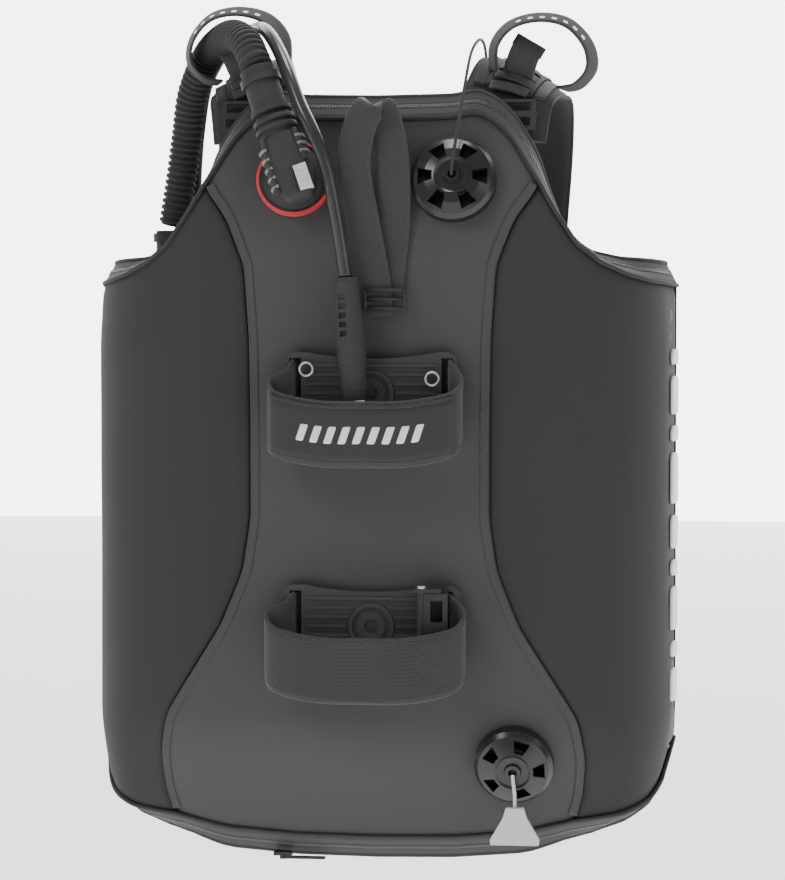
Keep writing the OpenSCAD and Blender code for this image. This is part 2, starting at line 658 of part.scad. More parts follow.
// End button that lets gas out, pressed upwards
module deflate_button() {
    color([0.5, 0.5, 0.5]) at_inflator(INFLATOR_FOOT - 6) cylinder(h = 11, r = 10);
}

module mouthpiece() {
    color([0.18, 0.18, 0.18]) at_inflator(100) rotate([-90, 0, 0]) difference() {
        union() {
            translate([0, 0, 15.7]) cylinder(h = 14, r = 9);
            translate([0, 0, 29.6]) linear_extrude(9) union() {
                square([30, 14], center = true);
                for (x = [-15, 15]) translate([x, 0]) circle(7);
            }
        }
        translate([0, 0, 15]) cylinder(h = 30, r = 5.5);
    }
}

// Low pressure hose from the inflator over the left shoulder to the tank valve
LP_ROUTE = [[-162, 91, 161.6], [-162, 91, 170], [-162, 91, 178], [-163, 88, 202], [-162, 84, 236],
    [-158, 77, 272], [-150, 64, 306], [-136, 47, 328], [-121, 25, 340], [-106, 2, 345],
    [-93, -18, 347], [-83, -38, 342], [-72, -58, 328], [-61, -76, 308], [-50, -89, 283],
    [-40, -95, 264], [-30, -97, 239], [-24, -97, 213], [-19, -96, 184], [-15.2, -95, 158],
    [-14.6, -94.8, 153.2]];
SLEEVE_TOP = [-14.5, -94.8, 153];
SLEEVE_FOOT = [-7, -98, 60];

module lp_hose() { color([0.14, 0.14, 0.14]) tube(curve(LP_ROUTE, 3), lp_d, 8); }

// Turns +Z to run along the sleeve, from its top down
module at_sleeve() {
    d = SLEEVE_FOOT - SLEEVE_TOP;
    translate(SLEEVE_TOP) rotate([0, acos(d[2] / norm(d)), atan2(d[1], d[0])]) children();
}

SLEEVE_L = 93;

module lp_hose_sleeve() {
    color([0.15, 0.15, 0.15]) at_sleeve() difference() {
        rotate_extrude() polygon([[0, 0], [8, 0], [9, 3], [9, 16], [10.2, 30], [10.8, 46], [10.8, 60],
            [9.8, 74], [9.6, 84], [8.8, 86], [8.8, 89], [8, SLEEVE_L], [0, SLEEVE_L]]);
        for (i = [0:4]) translate([-3, -12, 12 + i * 7]) cube([6, 4.2, 4.2]);
    }
}

// Threaded end that screws into the regulator's first stage
FITTING_THREAD_D = 9.525;

module lp_hose_fitting() {
    color([0.75, 0.75, 0.76]) at_sleeve() translate([0, 0, SLEEVE_L]) {
        cylinder(h = 6, r = 8, $fn = 6);
        translate([0, 0, 6]) cylinder(h = 3, r = 6.4);
        translate([0, 0, 9]) cylinder(h = 9, d = FITTING_THREAD_D);
    }
}

// Collar on the low pressure nipple, drawn up along the hose to let go
module quick_connect_collar() {
    color([0.6, 0.6, 0.62]) translate([LP_END[0], LP_END[1], NIPPLE_Z + 2.2]) difference() {
        union() {
            cylinder(h = 25, r = 7.4);
            for (z = [4:4:20]) translate([0, 0, z]) cylinder(h = 1.6, r = 8);
        }
        translate([0, 0, -1]) cylinder(h = 27, r = 4.08);
        translate([0, 0, 16.6]) cylinder(h = 10, r = 5.9);
    }
}

// ---- shoulder straps ----------------------------------------------------

// Right strap's middle line and the direction of its width at each point
STRAP_ROUTE = [[95, -10, 262], [99, -2, 290], [104, 14, 305], [108, 38, 311], [110, 64, 305],
    [110, 84, 283], [108, 94, 245], [104, 98, 195], [102, 100, 150]];
STRAP_ACROSS = [[1, 0, 0], [1, 0, -0.1], [0.93, 0, -0.35], [0.9, 0, -0.43], [0.9, 0.1, -0.42],
    [0.97, 0.1, -0.2], [1, 0, 0], [1, 0, 0], [1, 0, 0]];
STRAP_T = 9;
STRAP_PIECES = 5;
STRAP_W = pad_w - 4;

module strap_right() {
    band(curve(STRAP_ROUTE, STRAP_PIECES), curve(STRAP_ACROSS, STRAP_PIECES), STRAP_W, STRAP_T);
}

module shoulder_straps() { color([0.15, 0.15, 0.15]) both_sides() strap_right(); }

// Webbing that runs along the outside of each shoulder strap, a little off it
module shoulder_webbing() {
    p = curve(STRAP_ROUTE, STRAP_PIECES);
    across = curve(STRAP_ACROSS, STRAP_PIECES);
    near = STRAP_T / 2 + 2.2;
    color([0.22, 0.22, 0.22]) both_sides() skin([for (i = [3:len(p) - 1])
        let (h = heading(p, i), a = unit(across[i] - h * (across[i] * h)), u = cross(h, a),
             half = a * web_w / 2, far = near + web_t)
        [p[i] + half - u * near, p[i] - half - u * near, p[i] - half - u * far, p[i] + half - u * far]]);
}

D_RING = [106, 109.5, 212];
D_RING_R = 17;
D_WIRE = 3;

// Tri-glides over the webbing, and the keepers that the D-rings hang in
module shoulder_hardware() {
    color([0.1, 0.1, 0.1]) both_sides() {
        translate([99, -18.2, 279]) rotate([-16, 0, 0]) difference() {
            cube([46, 3, 24], center = true);
            for (z = [-6, 6]) translate([0, 0, z]) cube([39, 8, 7], center = true);
        }
        translate(D_RING) difference() {
            translate([-13, -3.2, -4]) cube([26, 6.4, 8]);
            rotate([0, 90, 0]) translate([0, 0, -20]) cylinder(h = 40, d = D_WIRE + 0.16);
        }
    }
}

// One D-ring hanging from its straight bar
module d_ring() {
    color([0.7, 0.7, 0.72]) translate(D_RING) union() {
        rotate([0, 90, 0]) translate([0, 0, -D_RING_R]) cylinder(h = 2 * D_RING_R, d = D_WIRE);
        for (x = [-1, 1]) translate([x * D_RING_R, 0, 0]) sphere(d = D_WIRE);
        difference() {
            rotate([90, 0, 0]) rotate_extrude() translate([D_RING_R, 0]) circle(d = D_WIRE);
            translate([-40, -10, 0]) cube([80, 20, 40]);
        }
    }
}

module d_ring_right() { d_ring(); }
module d_ring_left() { mirror([1, 0, 0]) d_ring(); }

// Thin bands that arch over each shoulder and hold the hoses
LOOP_ROUTE = [[76, 0, 318], [77, -2, 338], [90, -4, 353], [112, -4, 358.5], [134, -2, 354],
    [149, 1, 338], [152, 4, 320], [142, 7, 307], [129, 12, 304]];

LOOP_LEAN = 0.4;       // how far a loop's width leans outward as it crosses the shoulder

// One loop; its rear edge dips toward the middle of its arch
module hose_loop() {
    line = curve(LOOP_ROUTE, 4);
    band(line, [for (p = line) [(p[0] - 116) / 42 * LOOP_LEAN, 1, (p[2] - 318) / 42 * LOOP_LEAN]], 22, 1.8);
}

module hose_loops() {
    color([0.12, 0.12, 0.12]) {
        mirror([1, 0, 0]) translate([0, 0, 3]) hose_loop();
        translate([12, 0, -4]) hose_loop();
    }
}

// ---- side-release buckles -----------------------------------------------

CHEST = [102, 104.5, 130];
CHEST_LEAN = 7;
PLAY = 0.3;

module at_chest() { translate(CHEST) rotate([CHEST_LEAN, 0, 0]) children(); }

// Socket of a side-release buckle for webbing of width w; it opens down -Z
module buckle_socket(w) {
    difference() {
        translate([-w / 2 - 4, -5, -26]) cube([w + 8, 10, 26]);
        translate([-w / 2 + 1, -2.5 - PLAY, -27]) cube([w - 2, 5 + 2 * PLAY, 21]);
        for (s = [-1, 1]) translate([s * (w / 2 + 2) - 3.2, -3, -19]) cube([6.4, 6, 10]);
    }
    difference() {
        translate([-w / 2 - 4, -3, 0]) cube([w + 8, 6, 9]);
        translate([-w / 2 - 0.5, -4, 2]) cube([w + 1, 8, 3.6]);
    }
}

// Insert: tongue and two prongs, its crossbar frame, and webbing of length l
module buckle_insert(w, l) {
    color([0.1, 0.1, 0.1]) {
        translate([-5, -2.2, -27]) cube([10, 4.4, 18]);
        for (s = [-1, 1]) translate([s * (w / 2 - 4.6) - 3, -2.2, -27]) cube([6, 4.4, 17]);
        difference() {
            translate([-w / 2 - 4, -4.5, -40]) cube([w + 8, 9, 13.4]);
            translate([-w / 2 - 0.5, -1.3, -41]) cube([w + 1, 2.6, 10]);
        }
    }
    color([0.22, 0.22, 0.22]) translate([-w / 2, -web_t / 2, -31.2 - l]) cube([w, web_t, l]);
}

module chest_buckle_sockets() { color([0.1, 0.1, 0.1]) both_sides() at_chest() buckle_socket(web_w); }
module chest_buckle_right() { at_chest() buckle_insert(web_w, 170); }
module chest_buckle_left() { mirror([1, 0, 0]) chest_buckle_right(); }

STERNUM = [13, 109.8, 155];
WAIST = [14, 160, -125];

module sternum_socket() {
    translate(STERNUM) rotate([0, 90, 0]) {
        color([0.1, 0.1, 0.1]) buckle_socket(20);
        color([0.22, 0.22, 0.22]) translate([-10, -0.8, 9.2]) cube([20, 1.6, 70]);
    }
}

module sternum_insert() { translate(STERNUM) rotate([0, 90, 0]) buckle_insert(20, 62); }

// ---- waist --------------------------------------------------------------

WING_ROUTE = [[94, -10], [125, -5], [152, 8], [170, 30], [177, 60], [170, 95], [148, 125],
    [112, 143], [66, 150]];
WING_Z = -125;

// Padded flaps that close round the wearer's waist
module waist_wings() {
    line = curve([for (p = WING_ROUTE) [p[0], p[1], WING_Z]], 2);
    color([0.14, 0.14, 0.14]) both_sides() straight_band(line, [0, 0, 1], 112, 9);
}

module waist_socket() {
    translate(WAIST) rotate([0, 90, 0]) {
        color([0.1, 0.1, 0.1]) buckle_socket(web_w);
        color([0.22, 0.22, 0.22]) translate([-web_w / 2, -1, 9.2]) cube([web_w, web_t, 90]);
    }
}

module waist_insert() { translate(WAIST) rotate([0, 90, 0]) buckle_insert(web_w, 90); }

rear_panel_center();
rear_side_panels();
zip_gusset();
zip_chain();
air_cell();
body_panel();
stiffener_plate();
back_pads();
zip_slider();
zip_puller();
upper_tank_pad();
lower_tank_pad();
upper_tank_band();
band_sleeve();
band_keeper_rings();
lower_cam_band();
cam_buckle_frame();
cam_lever();
cam_lever_pin();
grab_strap();
shoulder_valve_base();
shoulder_valve_cover();
shoulder_valve_poppet();
shoulder_valve_spring();
shoulder_pull_cord();
shoulder_pull_knob();
lower_valve_base();
lower_valve_cover();
lower_valve_poppet();
lower_valve_spring();
lower_pull_knob();
port_base();
port_ring();
hose_elbow();
elbow_latch();
hose_cuff();
corrugated_hose();
hose_clamps();
inflator_body();
inflate_button();
deflate_button();
mouthpiece();
lp_hose();
lp_hose_sleeve();
lp_hose_fitting();
quick_connect_collar();
shoulder_straps();
shoulder_webbing();
shoulder_hardware();
d_ring_left();
d_ring_right();
hose_loops();
chest_buckle_sockets();
chest_buckle_left();
chest_buckle_right();
sternum_socket();
sternum_insert();
waist_wings();
waist_socket();
waist_insert();
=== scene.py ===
"""Looks of a back-inflation buoyancy vest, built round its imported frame."""

import json
import logging
import math
from dataclasses import dataclass, field
from enum import Enum
from typing import Callable, Optional, Sequence, Union

import bmesh
import bpy
from mathutils import Matrix, Vector, noise


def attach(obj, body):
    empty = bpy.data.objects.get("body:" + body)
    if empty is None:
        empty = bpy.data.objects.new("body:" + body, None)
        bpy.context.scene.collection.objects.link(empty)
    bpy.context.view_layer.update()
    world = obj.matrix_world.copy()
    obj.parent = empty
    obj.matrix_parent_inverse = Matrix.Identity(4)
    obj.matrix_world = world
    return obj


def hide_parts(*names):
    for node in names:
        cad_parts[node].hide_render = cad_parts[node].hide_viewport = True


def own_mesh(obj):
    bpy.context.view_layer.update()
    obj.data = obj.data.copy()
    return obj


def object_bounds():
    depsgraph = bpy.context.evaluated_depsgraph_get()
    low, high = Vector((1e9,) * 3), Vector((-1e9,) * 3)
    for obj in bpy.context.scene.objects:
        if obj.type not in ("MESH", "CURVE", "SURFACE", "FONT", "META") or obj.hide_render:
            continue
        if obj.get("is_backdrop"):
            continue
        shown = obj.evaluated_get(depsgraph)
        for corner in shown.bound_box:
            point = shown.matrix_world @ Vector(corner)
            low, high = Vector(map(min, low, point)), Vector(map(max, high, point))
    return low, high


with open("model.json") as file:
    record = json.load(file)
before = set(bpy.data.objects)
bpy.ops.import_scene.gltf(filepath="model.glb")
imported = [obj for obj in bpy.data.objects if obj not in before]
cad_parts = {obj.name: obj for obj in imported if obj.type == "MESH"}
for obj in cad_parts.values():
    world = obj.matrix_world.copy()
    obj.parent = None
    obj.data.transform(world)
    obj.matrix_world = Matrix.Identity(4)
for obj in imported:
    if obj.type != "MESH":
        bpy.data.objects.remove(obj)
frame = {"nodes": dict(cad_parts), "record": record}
log = logging.getLogger("vest")
MM = 0.001
Point = tuple[float, float, float]  # a place or a colour
Value = Union["Flow", float]


# ---- shader maths --------------------------------------------------------

class Flow:
    """One output socket of a node, with arithmetic that adds Math nodes."""

    def __init__(self, maker: "Maker", socket: bpy.types.NodeSocket) -> None:
        """Keeps the socket and the maker that owns its tree."""
        self.maker, self.socket = maker, socket

    def apply(self, operation: str, other: Value = 0.0) -> "Flow":
        """Adds one Math node over this value and another."""
        return self.maker.flow("ShaderNodeMath", {"operation": operation}, {0: self, 1: other})

    def __add__(self, other: Value) -> "Flow":
        """Sum."""
        return self.apply("ADD", other)

    def __sub__(self, other: Value) -> "Flow":
        """Difference."""
        return self.apply("SUBTRACT", other)

    def __rsub__(self, other: Value) -> "Flow":
        """Difference from a number."""
        return self.maker.flow("ShaderNodeMath", {"operation": "SUBTRACT"}, {0: other, 1: self})

    def __mul__(self, other: Value) -> "Flow":
        """Product."""
        return self.apply("MULTIPLY", other)

    def __pow__(self, other: Value) -> "Flow":
        """Power."""
        return self.apply("POWER", other)

    __radd__ = __add__


class Maker:
    """Builds one material's node tree."""

    def __init__(self, name: str) -> None:
        """Starts an empty material with a Principled shader."""
        self.material = bpy.data.materials.new(name)
        self.material.use_nodes = True
        self.nodes = self.material.node_tree.nodes
        self.links = self.material.node_tree.links
        self.shader = self.nodes["Principled BSDF"]

    def add(self, kind: str, settings: Optional[dict] = None,
            inputs: Optional[dict] = None) -> bpy.types.Node:
        """Adds a node.

        Args:
            kind: the node's type name.
            settings: attributes, set before any input.
            inputs: numbers, colours or flows by socket name or index.

        Returns:
            The new node.
        """
        node = self.nodes.new(kind)
        for key, value in (settings or {}).items():
            setattr(node, key, value)
        for key, value in (inputs or {}).items():
            if isinstance(value, Flow):
                self.links.new(value.socket, node.inputs[key])
            else:
                node.inputs[key].default_value = value
        return node

    def flow(self, kind: str, settings: Optional[dict] = None, inputs: Optional[dict] = None,
             output: Union[int, str] = 0) -> Flow:
        """Adds a node as `add` does and returns one of its outputs."""
        return Flow(self, self.add(kind, settings, inputs).outputs[output])

    def place(self) -> Flow:
        """Position on the object, in metres."""
        return self.flow("ShaderNodeTexCoord", output="Object")

    def axes(self, vector: Flow) -> list[Flow]:
        """The three parts of a vector."""
        node = self.add("ShaderNodeSeparateXYZ", inputs={0: vector})
        return [Flow(self, socket) for socket in node.outputs]

    def lay(self) -> list[Flow]:
        """Length along a strip and place across it, in metres, from its own map."""
        return self.axes(self.flow("ShaderNodeUVMap", {"uv_map": "lay"}))[:2]

    def noise(self, scale: float, detail: float = 3.0, where: Optional[Flow] = None) -> Flow:
        """Soft noise from 0 to 1."""
        return self.flow("ShaderNodeTexNoise", None,
                         {"Vector": where or self.place(), "Scale": scale, "Detail": detail})

    def blend(self, share: Value, low: Sequence[float], high: Sequence[float]) -> Flow:
        """Colour between two, by a share from 0 to 1."""
        return self.flow("ShaderNodeMix", {"data_type": "RGBA"},
                         {0: share, 6: (*low, 1.0), 7: (*high, 1.0)}, 2)

    def feed(self, **sockets: Union[Flow, float, tuple]) -> None:
        """Sets or links the shader's sockets; an underscore stands for a space."""
        for key, value in sockets.items():
            target = self.shader.inputs[key.replace("_", " ")]
            if isinstance(value, Flow):
                self.links.new(value.socket, target)
            else:
                target.default_value = (*value, 1.0) if isinstance(value, tuple) else value

    def bump(self, height: Flow, depth: float, strength: float = 0.6) -> None:
        """Feeds the normal from a height whose full range is `depth` metres."""
        self.feed(Normal=self.flow("ShaderNodeBump", None,
                                   {"Strength": strength, "Distance": depth, "Height": height}))


# ---- finishes ------------------------------------------------------------

def tint(colour: Point, factor: float) -> tuple[float, ...]:
    """A colour made lighter or darker by a factor."""
    return tuple(min(1.0, c * factor) for c in colour)


def laminate(m: Maker, colour: Point, roughness: float = 0.6, grain: float = 0.00012) -> None:
    """Smooth fabric skin with a fine knit grain and soft mottling."""
    cloud = m.noise(14.0, 4.0)
    knit = m.noise(1500.0, 2.0)
    x, _, z = m.axes(m.place())
    rib = ((x * 3600.0).apply("SINE") * (z * 3600.0).apply("SINE")) * 0.5 + 0.5
    share = cloud * 0.65 + knit * 0.35
    m.feed(Base_Color=m.blend(share, tint(colour, 0.72), tint(colour, 1.3)),
           Roughness=cloud * 0.14 + (roughness - 0.07), Sheen_Weight=0.12,
           Sheen_Roughness=0.5, Specular_IOR_Level=0.35)
    m.bump(rib * 0.4 + knit * 0.6, grain)


def weave(m: Maker, colour: Point, width: float, pitch: float = 0.0016, yarn: float = 0.0022,
          roughness: float = 0.72) -> None:
    """Strap webbing: ribs across its length, yarns along it, and worn edges, with painted shade in the
    troughs between ribs and yarns and painted highlight on their crests.
    """
    along, across = m.lay()
    cell = (across * (1.0 / yarn)).apply("ROUND")
    shift = cell.apply("PINGPONG", 1.0) * 0.5
    rib = ((along * (1.0 / pitch) + shift) * (2 * math.pi)).apply("SINE") * 0.5 + 0.5
    thread = ((across * (2 * math.pi / yarn)).apply("COSINE") * 0.5) + 0.5
    height = rib * 0.65 + thread * 0.35
    fuzz = m.noise(900.0, 3.0)
    edge = (across.apply("ABSOLUTE") * (2.0 / width)) ** 10.0
    # painted shade and highlight: the rib and yarn height darkens the troughs and lightens the crests,
    # mixed with random fibre tone and the lighter worn edges
    share = (height * 0.6 + fuzz * 0.4 + edge * 0.3).apply("MINIMUM", 1.0)
    m.feed(Base_Color=m.blend(share, tint(colour, 0.45), tint(colour, 1.55)),
           Roughness=fuzz * 0.2 + (roughness - 0.1), Sheen_Weight=0.2,
           Sheen_Roughness=0.45, Specular_IOR_Level=0.3)
    m.bump(height, 0.0004, 0.8)


def mesh3d(m: Maker, colour: Point, cell: float = 0.0032) -> None:
    """Spacer mesh: a field of small open cells over padding, with painted shade in the open cells and
    lighter walls.
    """
    cells = m.flow("ShaderNodeTexVoronoi", {"feature": "DISTANCE_TO_EDGE"},
                   {"Vector": m.place(), "Scale": 1.0 / cell, "Randomness": 0.25})
    wall = 1.0 - (cells * 5.0).apply("MINIMUM", 1.0)
    fuzz = m.noise(1200.0)
    # painted shade: the open cells are darkened and the raised cell walls lightened, with a little random
    # fibre tone
    m.feed(Base_Color=m.blend(wall * 0.8 + fuzz * 0.2, tint(colour, 0.35), tint(colour, 1.7)),
           Roughness=0.85, Sheen_Weight=0.2, Specular_IOR_Level=0.25)
    m.bump(wall, 0.0006, 0.8)


def moulding(m: Maker, colour: Point, roughness: float = 0.38, grain: float = 0.00004,
             grain_scale: float = 1700.0, coat: float = 0.0, scuff: float = 0.12) -> None:
    """Moulded plastic or rubber with a fine spark-eroded grain and light scuffs."""
    fine = m.noise(grain_scale, 3.0)
    rub = m.noise(55.0, 5.0)
    worn = (rub - 0.45).apply("MAXIMUM", 0.0) * 2.0
    m.feed(Base_Color=m.blend(worn * scuff * 2.5 + fine * 0.2, colour,
                              tuple(c * 0.8 + 0.05 for c in colour)),
           Roughness=worn * scuff + (roughness + fine * 0.06),
           Specular_IOR_Level=0.5)
    if coat:
        m.feed(Coat_Weight=coat, Coat_Roughness=0.08)
    m.bump(fine, grain, 0.5)


def metal(m: Maker, colour: Point, roughness: float = 0.22, brushing: float = 0.08) -> None:
    """Bright metal with fine brushing."""
    x, y, z = m.axes(m.place())
    stretched = m.flow("ShaderNodeCombineXYZ", None, {0: x * 40.0, 1: y * 900.0, 2: z * 900.0})
    lines = m.noise(3.0, 4.0, stretched)
    m.feed(Base_Color=m.blend(lines, tint(colour, 0.8), colour), Metallic=1.0,
           Roughness=lines * brushing + roughness)
    m.bump(lines, 0.00003, 0.4)


class Finish(Enum):
    """Every finish on the vest, by the slot or the sewn piece that wears it."""

    CENTER_FABRIC = laminate, (0.0107, 0.0104, 0.0100), 0.46
    SIDE_FABRIC = laminate, (0.0043, 0.0044, 0.0043), 0.86, 0.00016
    BINDING = weave, (0.0168, 0.0168, 0.0168), 0.012, 0.0011, 0.0014
    BAND_WEBBING = weave, (0.0372, 0.0372, 0.0360), 0.050
    CAM_WEBBING = weave, (0.0355, 0.0348, 0.0343), 0.050, 0.0026, 0.0030
    STRAP_WEBBING = weave, (0.0190, 0.0190, 0.0190), 0.038
    NARROW_WEBBING = weave, (0.0413, 0.0413, 0.0413), 0.025, 0.0014, 0.0018
    SLEEVE = laminate, (0.0258, 0.0248, 0.0248), 0.62
    PAD_FABRIC = laminate, (0.0137, 0.0137, 0.0137), 0.75, 0.0002
    MESH_LINING = mesh3d, (0.0236, 0.0236, 0.0236)
    BLADDER = laminate, (0.10, 0.10, 0.12), 0.45
    PAD_RUBBER = moulding, (0.0204, 0.0204, 0.0198), 0.55, 0.00008, 900.0
    HOSE_RUBBER = moulding, (0.0141, 0.0141, 0.0141), 0.42, 0.00005
    GLOSS_BLACK = moulding, (0.008, 0.008, 0.008), 0.22, 0.00001, 1400.0, 0.35, 0.06
    BLACK_PLASTIC = moulding, (0.018, 0.018, 0.018), 0.36
    RED_PLASTIC = moulding, (0.62, 0.028, 0.040), 0.34
    PALE_PLASTIC = moulding, (0.62, 0.61, 0.59), 0.42
    GREY_PLASTIC = moulding, (0.10, 0.10, 0.10), 0.40
    STEEL = metal, (0.60, 0.60, 0.62), 0.28
    CHROME = metal, (0.80, 0.80, 0.82), 0.14, 0.03
    PRINT = moulding, (0.80, 0.80, 0.79), 0.55, 0.00003, 1500.0, 0.0, 0.05
    GLOSS_HOSE = moulding, (0.020, 0.020, 0.020), 0.24, 0.00002, 1400.0, 0.2, 0.05
    ZIP_TEETH = moulding, (0.050, 0.050, 0.050), 0.30
    THREAD = moulding, (0.055, 0.055, 0.055), 0.65, 0.00005

    def material(self) -> bpy.types.Material:
        """The finish's material, made once."""
        name = self.name.lower()
        if name not in bpy.data.materials:
            build, *settings = self.value
            build(Maker(name), *settings)
        return bpy.data.materials[name]


# ---- mesh making ---------------------------------------------------------

def metres(points: Sequence[Sequence[float]]) -> list[Vector]:
    """Points given in millimetres, in metres."""
    return [Vector(p) * MM for p in points]


def smooth_route(points: Sequence[Vector], pieces: int) -> list[Vector]:
    """A smooth line through every point, with `pieces` steps between each two."""
    out = []
    last = len(points) - 1
    for i in range(last):
        a, b = points[max(i - 1, 0)], points[i]
        c, d = points[i + 1], points[min(i + 2, last)]
        for j in range(pieces):
            t = j / pieces
            out.append(0.5 * (2 * b + (c - a) * t + (2 * a - 5 * b + 4 * c - d) * t * t
                              + (3 * b - 3 * c + d - a) * t ** 3))
    return out + [points[-1].copy()]


def run_along(points: Sequence[Vector]) -> list[float]:
    """Distance run at each point of a line."""
    run = [0.0]
    for a, b in zip(points, points[1:]):
        run.append(run[-1] + (b - a).length)
    return run


def even_route(points: Sequence[Vector], step: float) -> list[Vector]:
    """The same line with points a steady distance apart."""
    lengths = run_along(points)
    count = max(2, round(lengths[-1] / step))
    out, k = [], 0
    for i in range(count + 1):
        want = lengths[-1] * i / count
        while k < len(points) - 2 and lengths[k + 1] < want:
            k += 1
        share = (want - lengths[k]) / max(lengths[k + 1] - lengths[k], 1e-9)
        out.append(points[k].lerp(points[k + 1], min(1.0, share)))
    return out


def headings(path: Sequence[Vector]) -> list[Vector]:
    """Direction of travel at each point."""
    last = len(path) - 1
    return [(path[min(i + 1, last)] - path[max(i - 1, 0)]).normalized() for i in range(last + 1)]


@dataclass
class Line:
    """A path with a width direction and a normal at each point."""

    path: list[Vector]
    across: list[Vector]
    out: list[Vector] = field(default_factory=list)
    upright: bool = False

    def __post_init__(self) -> None:
        """Works out the normals, and squares the width to the path unless it stays upright."""
        ahead = headings(self.path)
        if self.upright:
            self.out = [h.cross(a).normalized() for a, h in zip(self.across, ahead)]
            return
        self.across = [(a - h * a.dot(h)).normalized() for a, h in zip(self.across, ahead)]
        self.out = [h.cross(a) for a, h in zip(self.across, ahead)]

    def at(self, i: int, a: float, b: float) -> Vector:
        """Point i moved a along the width and b along the normal."""
        return self.path[i] + self.across[i] * a + self.out[i] * b

    def lengths(self) -> list[float]:
        """Distance run at each point."""
        return run_along(self.path)

    def faces(self, i: int, way: Vector) -> int:
        """1 where the normal at point i looks along a direction, -1 where it looks away."""
        return 1 if self.out[i].dot(way) > 0 else -1

    def part(self, start: int, stop: int) -> "Line":
        """The stretch between two points."""
        return Line(self.path[start:stop], self.across[start:stop], upright=self.upright)


def rolling_line(path: Sequence[Vector], first: Vector = Vector((1, 0, 0))) -> Line:
    """A line whose width direction is carried along without twisting."""
    ahead = headings(path)
    across = [(first - ahead[0] * first.dot(ahead[0])).normalized()]
    for h in ahead[1:]:
        across.append((across[-1] - h * across[-1].dot(h)).normalized())
    return Line(list(path), across)


def shown(name: str, data: bpy.types.ID) -> bpy.types.Object:
    """A new object of the scene."""
    made = bpy.data.objects.new(name, data)
    bpy.context.scene.collection.objects.link(made)
    return made


def finish_mesh(name: str, mesh: bmesh.types.BMesh, finish: Finish) -> bpy.types.Object:
    """Turns built geometry into a shown, smooth-shaded object."""
    bmesh.ops.recalc_face_normals(mesh, faces=mesh.faces)
    data = bpy.data.meshes.new(name)
    mesh.to_mesh(data)
    mesh.free()
    for face in data.polygons:
        face.use_smooth = True
    data.materials.append(finish.material())
    return shown(name, data)


def skin_rings(mesh: bmesh.types.BMesh, rings: Sequence[Sequence[Vector]]) -> None:
    """Closed skin round a row of rings, with a flat face on both ends."""
    made = [[mesh.verts.new(p) for p in ring] for ring in rings]
    count = len(made[0])
    for a, b in zip(made, made[1:]):
        for k in range(count):
            m = (k + 1) % count
            mesh.faces.new((a[k], a[m], b[m], b[k]))
    mesh.faces.new(made[0])
    mesh.faces.new(made[-1])


def sweep(name: str, line: Line, section: Callable[[int, float], list[tuple[float, float]]],
          finish: Finish) -> bpy.types.Object:
    """Closed skin over a cross-section carried along a line.

    Args:
        name: the piece's name.
        line: where it runs.
        section: gives the outline, as (across, out) pairs, at a point and its length run.
        finish: its material.

    Returns:
        The new object, with a "lay" map of length along and place across.
    """
    mesh = bmesh.new()
    lay = mesh.loops.layers.uv.new("lay")
    run = line.lengths()
    rings, places = [], []
    for i, length in enumerate(run):
        outline = section(i, length)
        rings.append([mesh.verts.new(line.at(i, a, b)) for a, b in outline])
        places.append(outline)
    count = len(rings[0])
    for i in range(len(rings) - 1):
        for j in range(count):
            k = (j + 1) % count
            face = mesh.faces.new((rings[i][j], rings[i][k], rings[i + 1][k], rings[i + 1][j]))
            spots = ((run[i], places[i][j][0]), (run[i], places[i][k][0]),
                     (run[i + 1], places[i + 1][k][0]), (run[i + 1], places[i + 1][j][0]))
            for loop, spot in zip(face.loops, spots):
                loop[lay].uv = spot
    for ring, outline, length in ((rings[0], places[0], run[0]), (rings[-1], places[-1], run[-1])):
        face = mesh.faces.new(ring)
        for loop, spot in zip(face.loops, outline):
            loop[lay].uv = (length, spot[0])
    return finish_mesh(name, mesh, finish)


def flat_section(width: float, thick: float, steps: int = 6,
                 edge: float = 0.35) -> list[tuple[float, float]]:
    """Outline of webbing: flat faces with soft selvedges."""
    half, t = width / 2, thick / 2
    top = [(-half + width * i / steps, t) for i in range(1, steps)]
    low = [(half - width * i / steps, -t) for i in range(1, steps)]
    right = [(half - t * edge, t * 0.92), (half, 0.0), (half - t * edge, -t * 0.92)]
    left = [(-half + t * edge, -t * 0.92), (-half, 0.0), (-half + t * edge, t * 0.92)]
    return top + right + low + left


def webbing(name: str, line: Line, width: float, thick: float, finish: Finish,
            ripple: float = 0.0) -> bpy.types.Object:
    """A strap of woven webbing, with a slight cupping across it."""
    base = flat_section(width, thick)

    def section(i: int, length: float) -> list[tuple[float, float]]:
        """The outline with a slow wave along its edges."""
        lift = ripple * math.sin(length * 95.0)
        return [(a, b + lift * (2 * a / width) ** 2) for a, b in base]

    return sweep(name, line, section, finish)


def pipe(name: str, path: Sequence[Vector], radius: Union[float, Callable[[float], float]],
         finish: Finish, sides: int = 16) -> bpy.types.Object:
    """A round tube, with one radius or one that follows the length run."""
    turn = [2 * math.pi * j / sides for j in range(sides)]

    def section(i: int, length: float) -> list[tuple[float, float]]:
        """A circle."""
        r = radius(length) if callable(radius) else radius
        return [(r * math.cos(a), r * math.sin(a)) for a in turn]

    return sweep(name, rolling_line(path), section, finish)


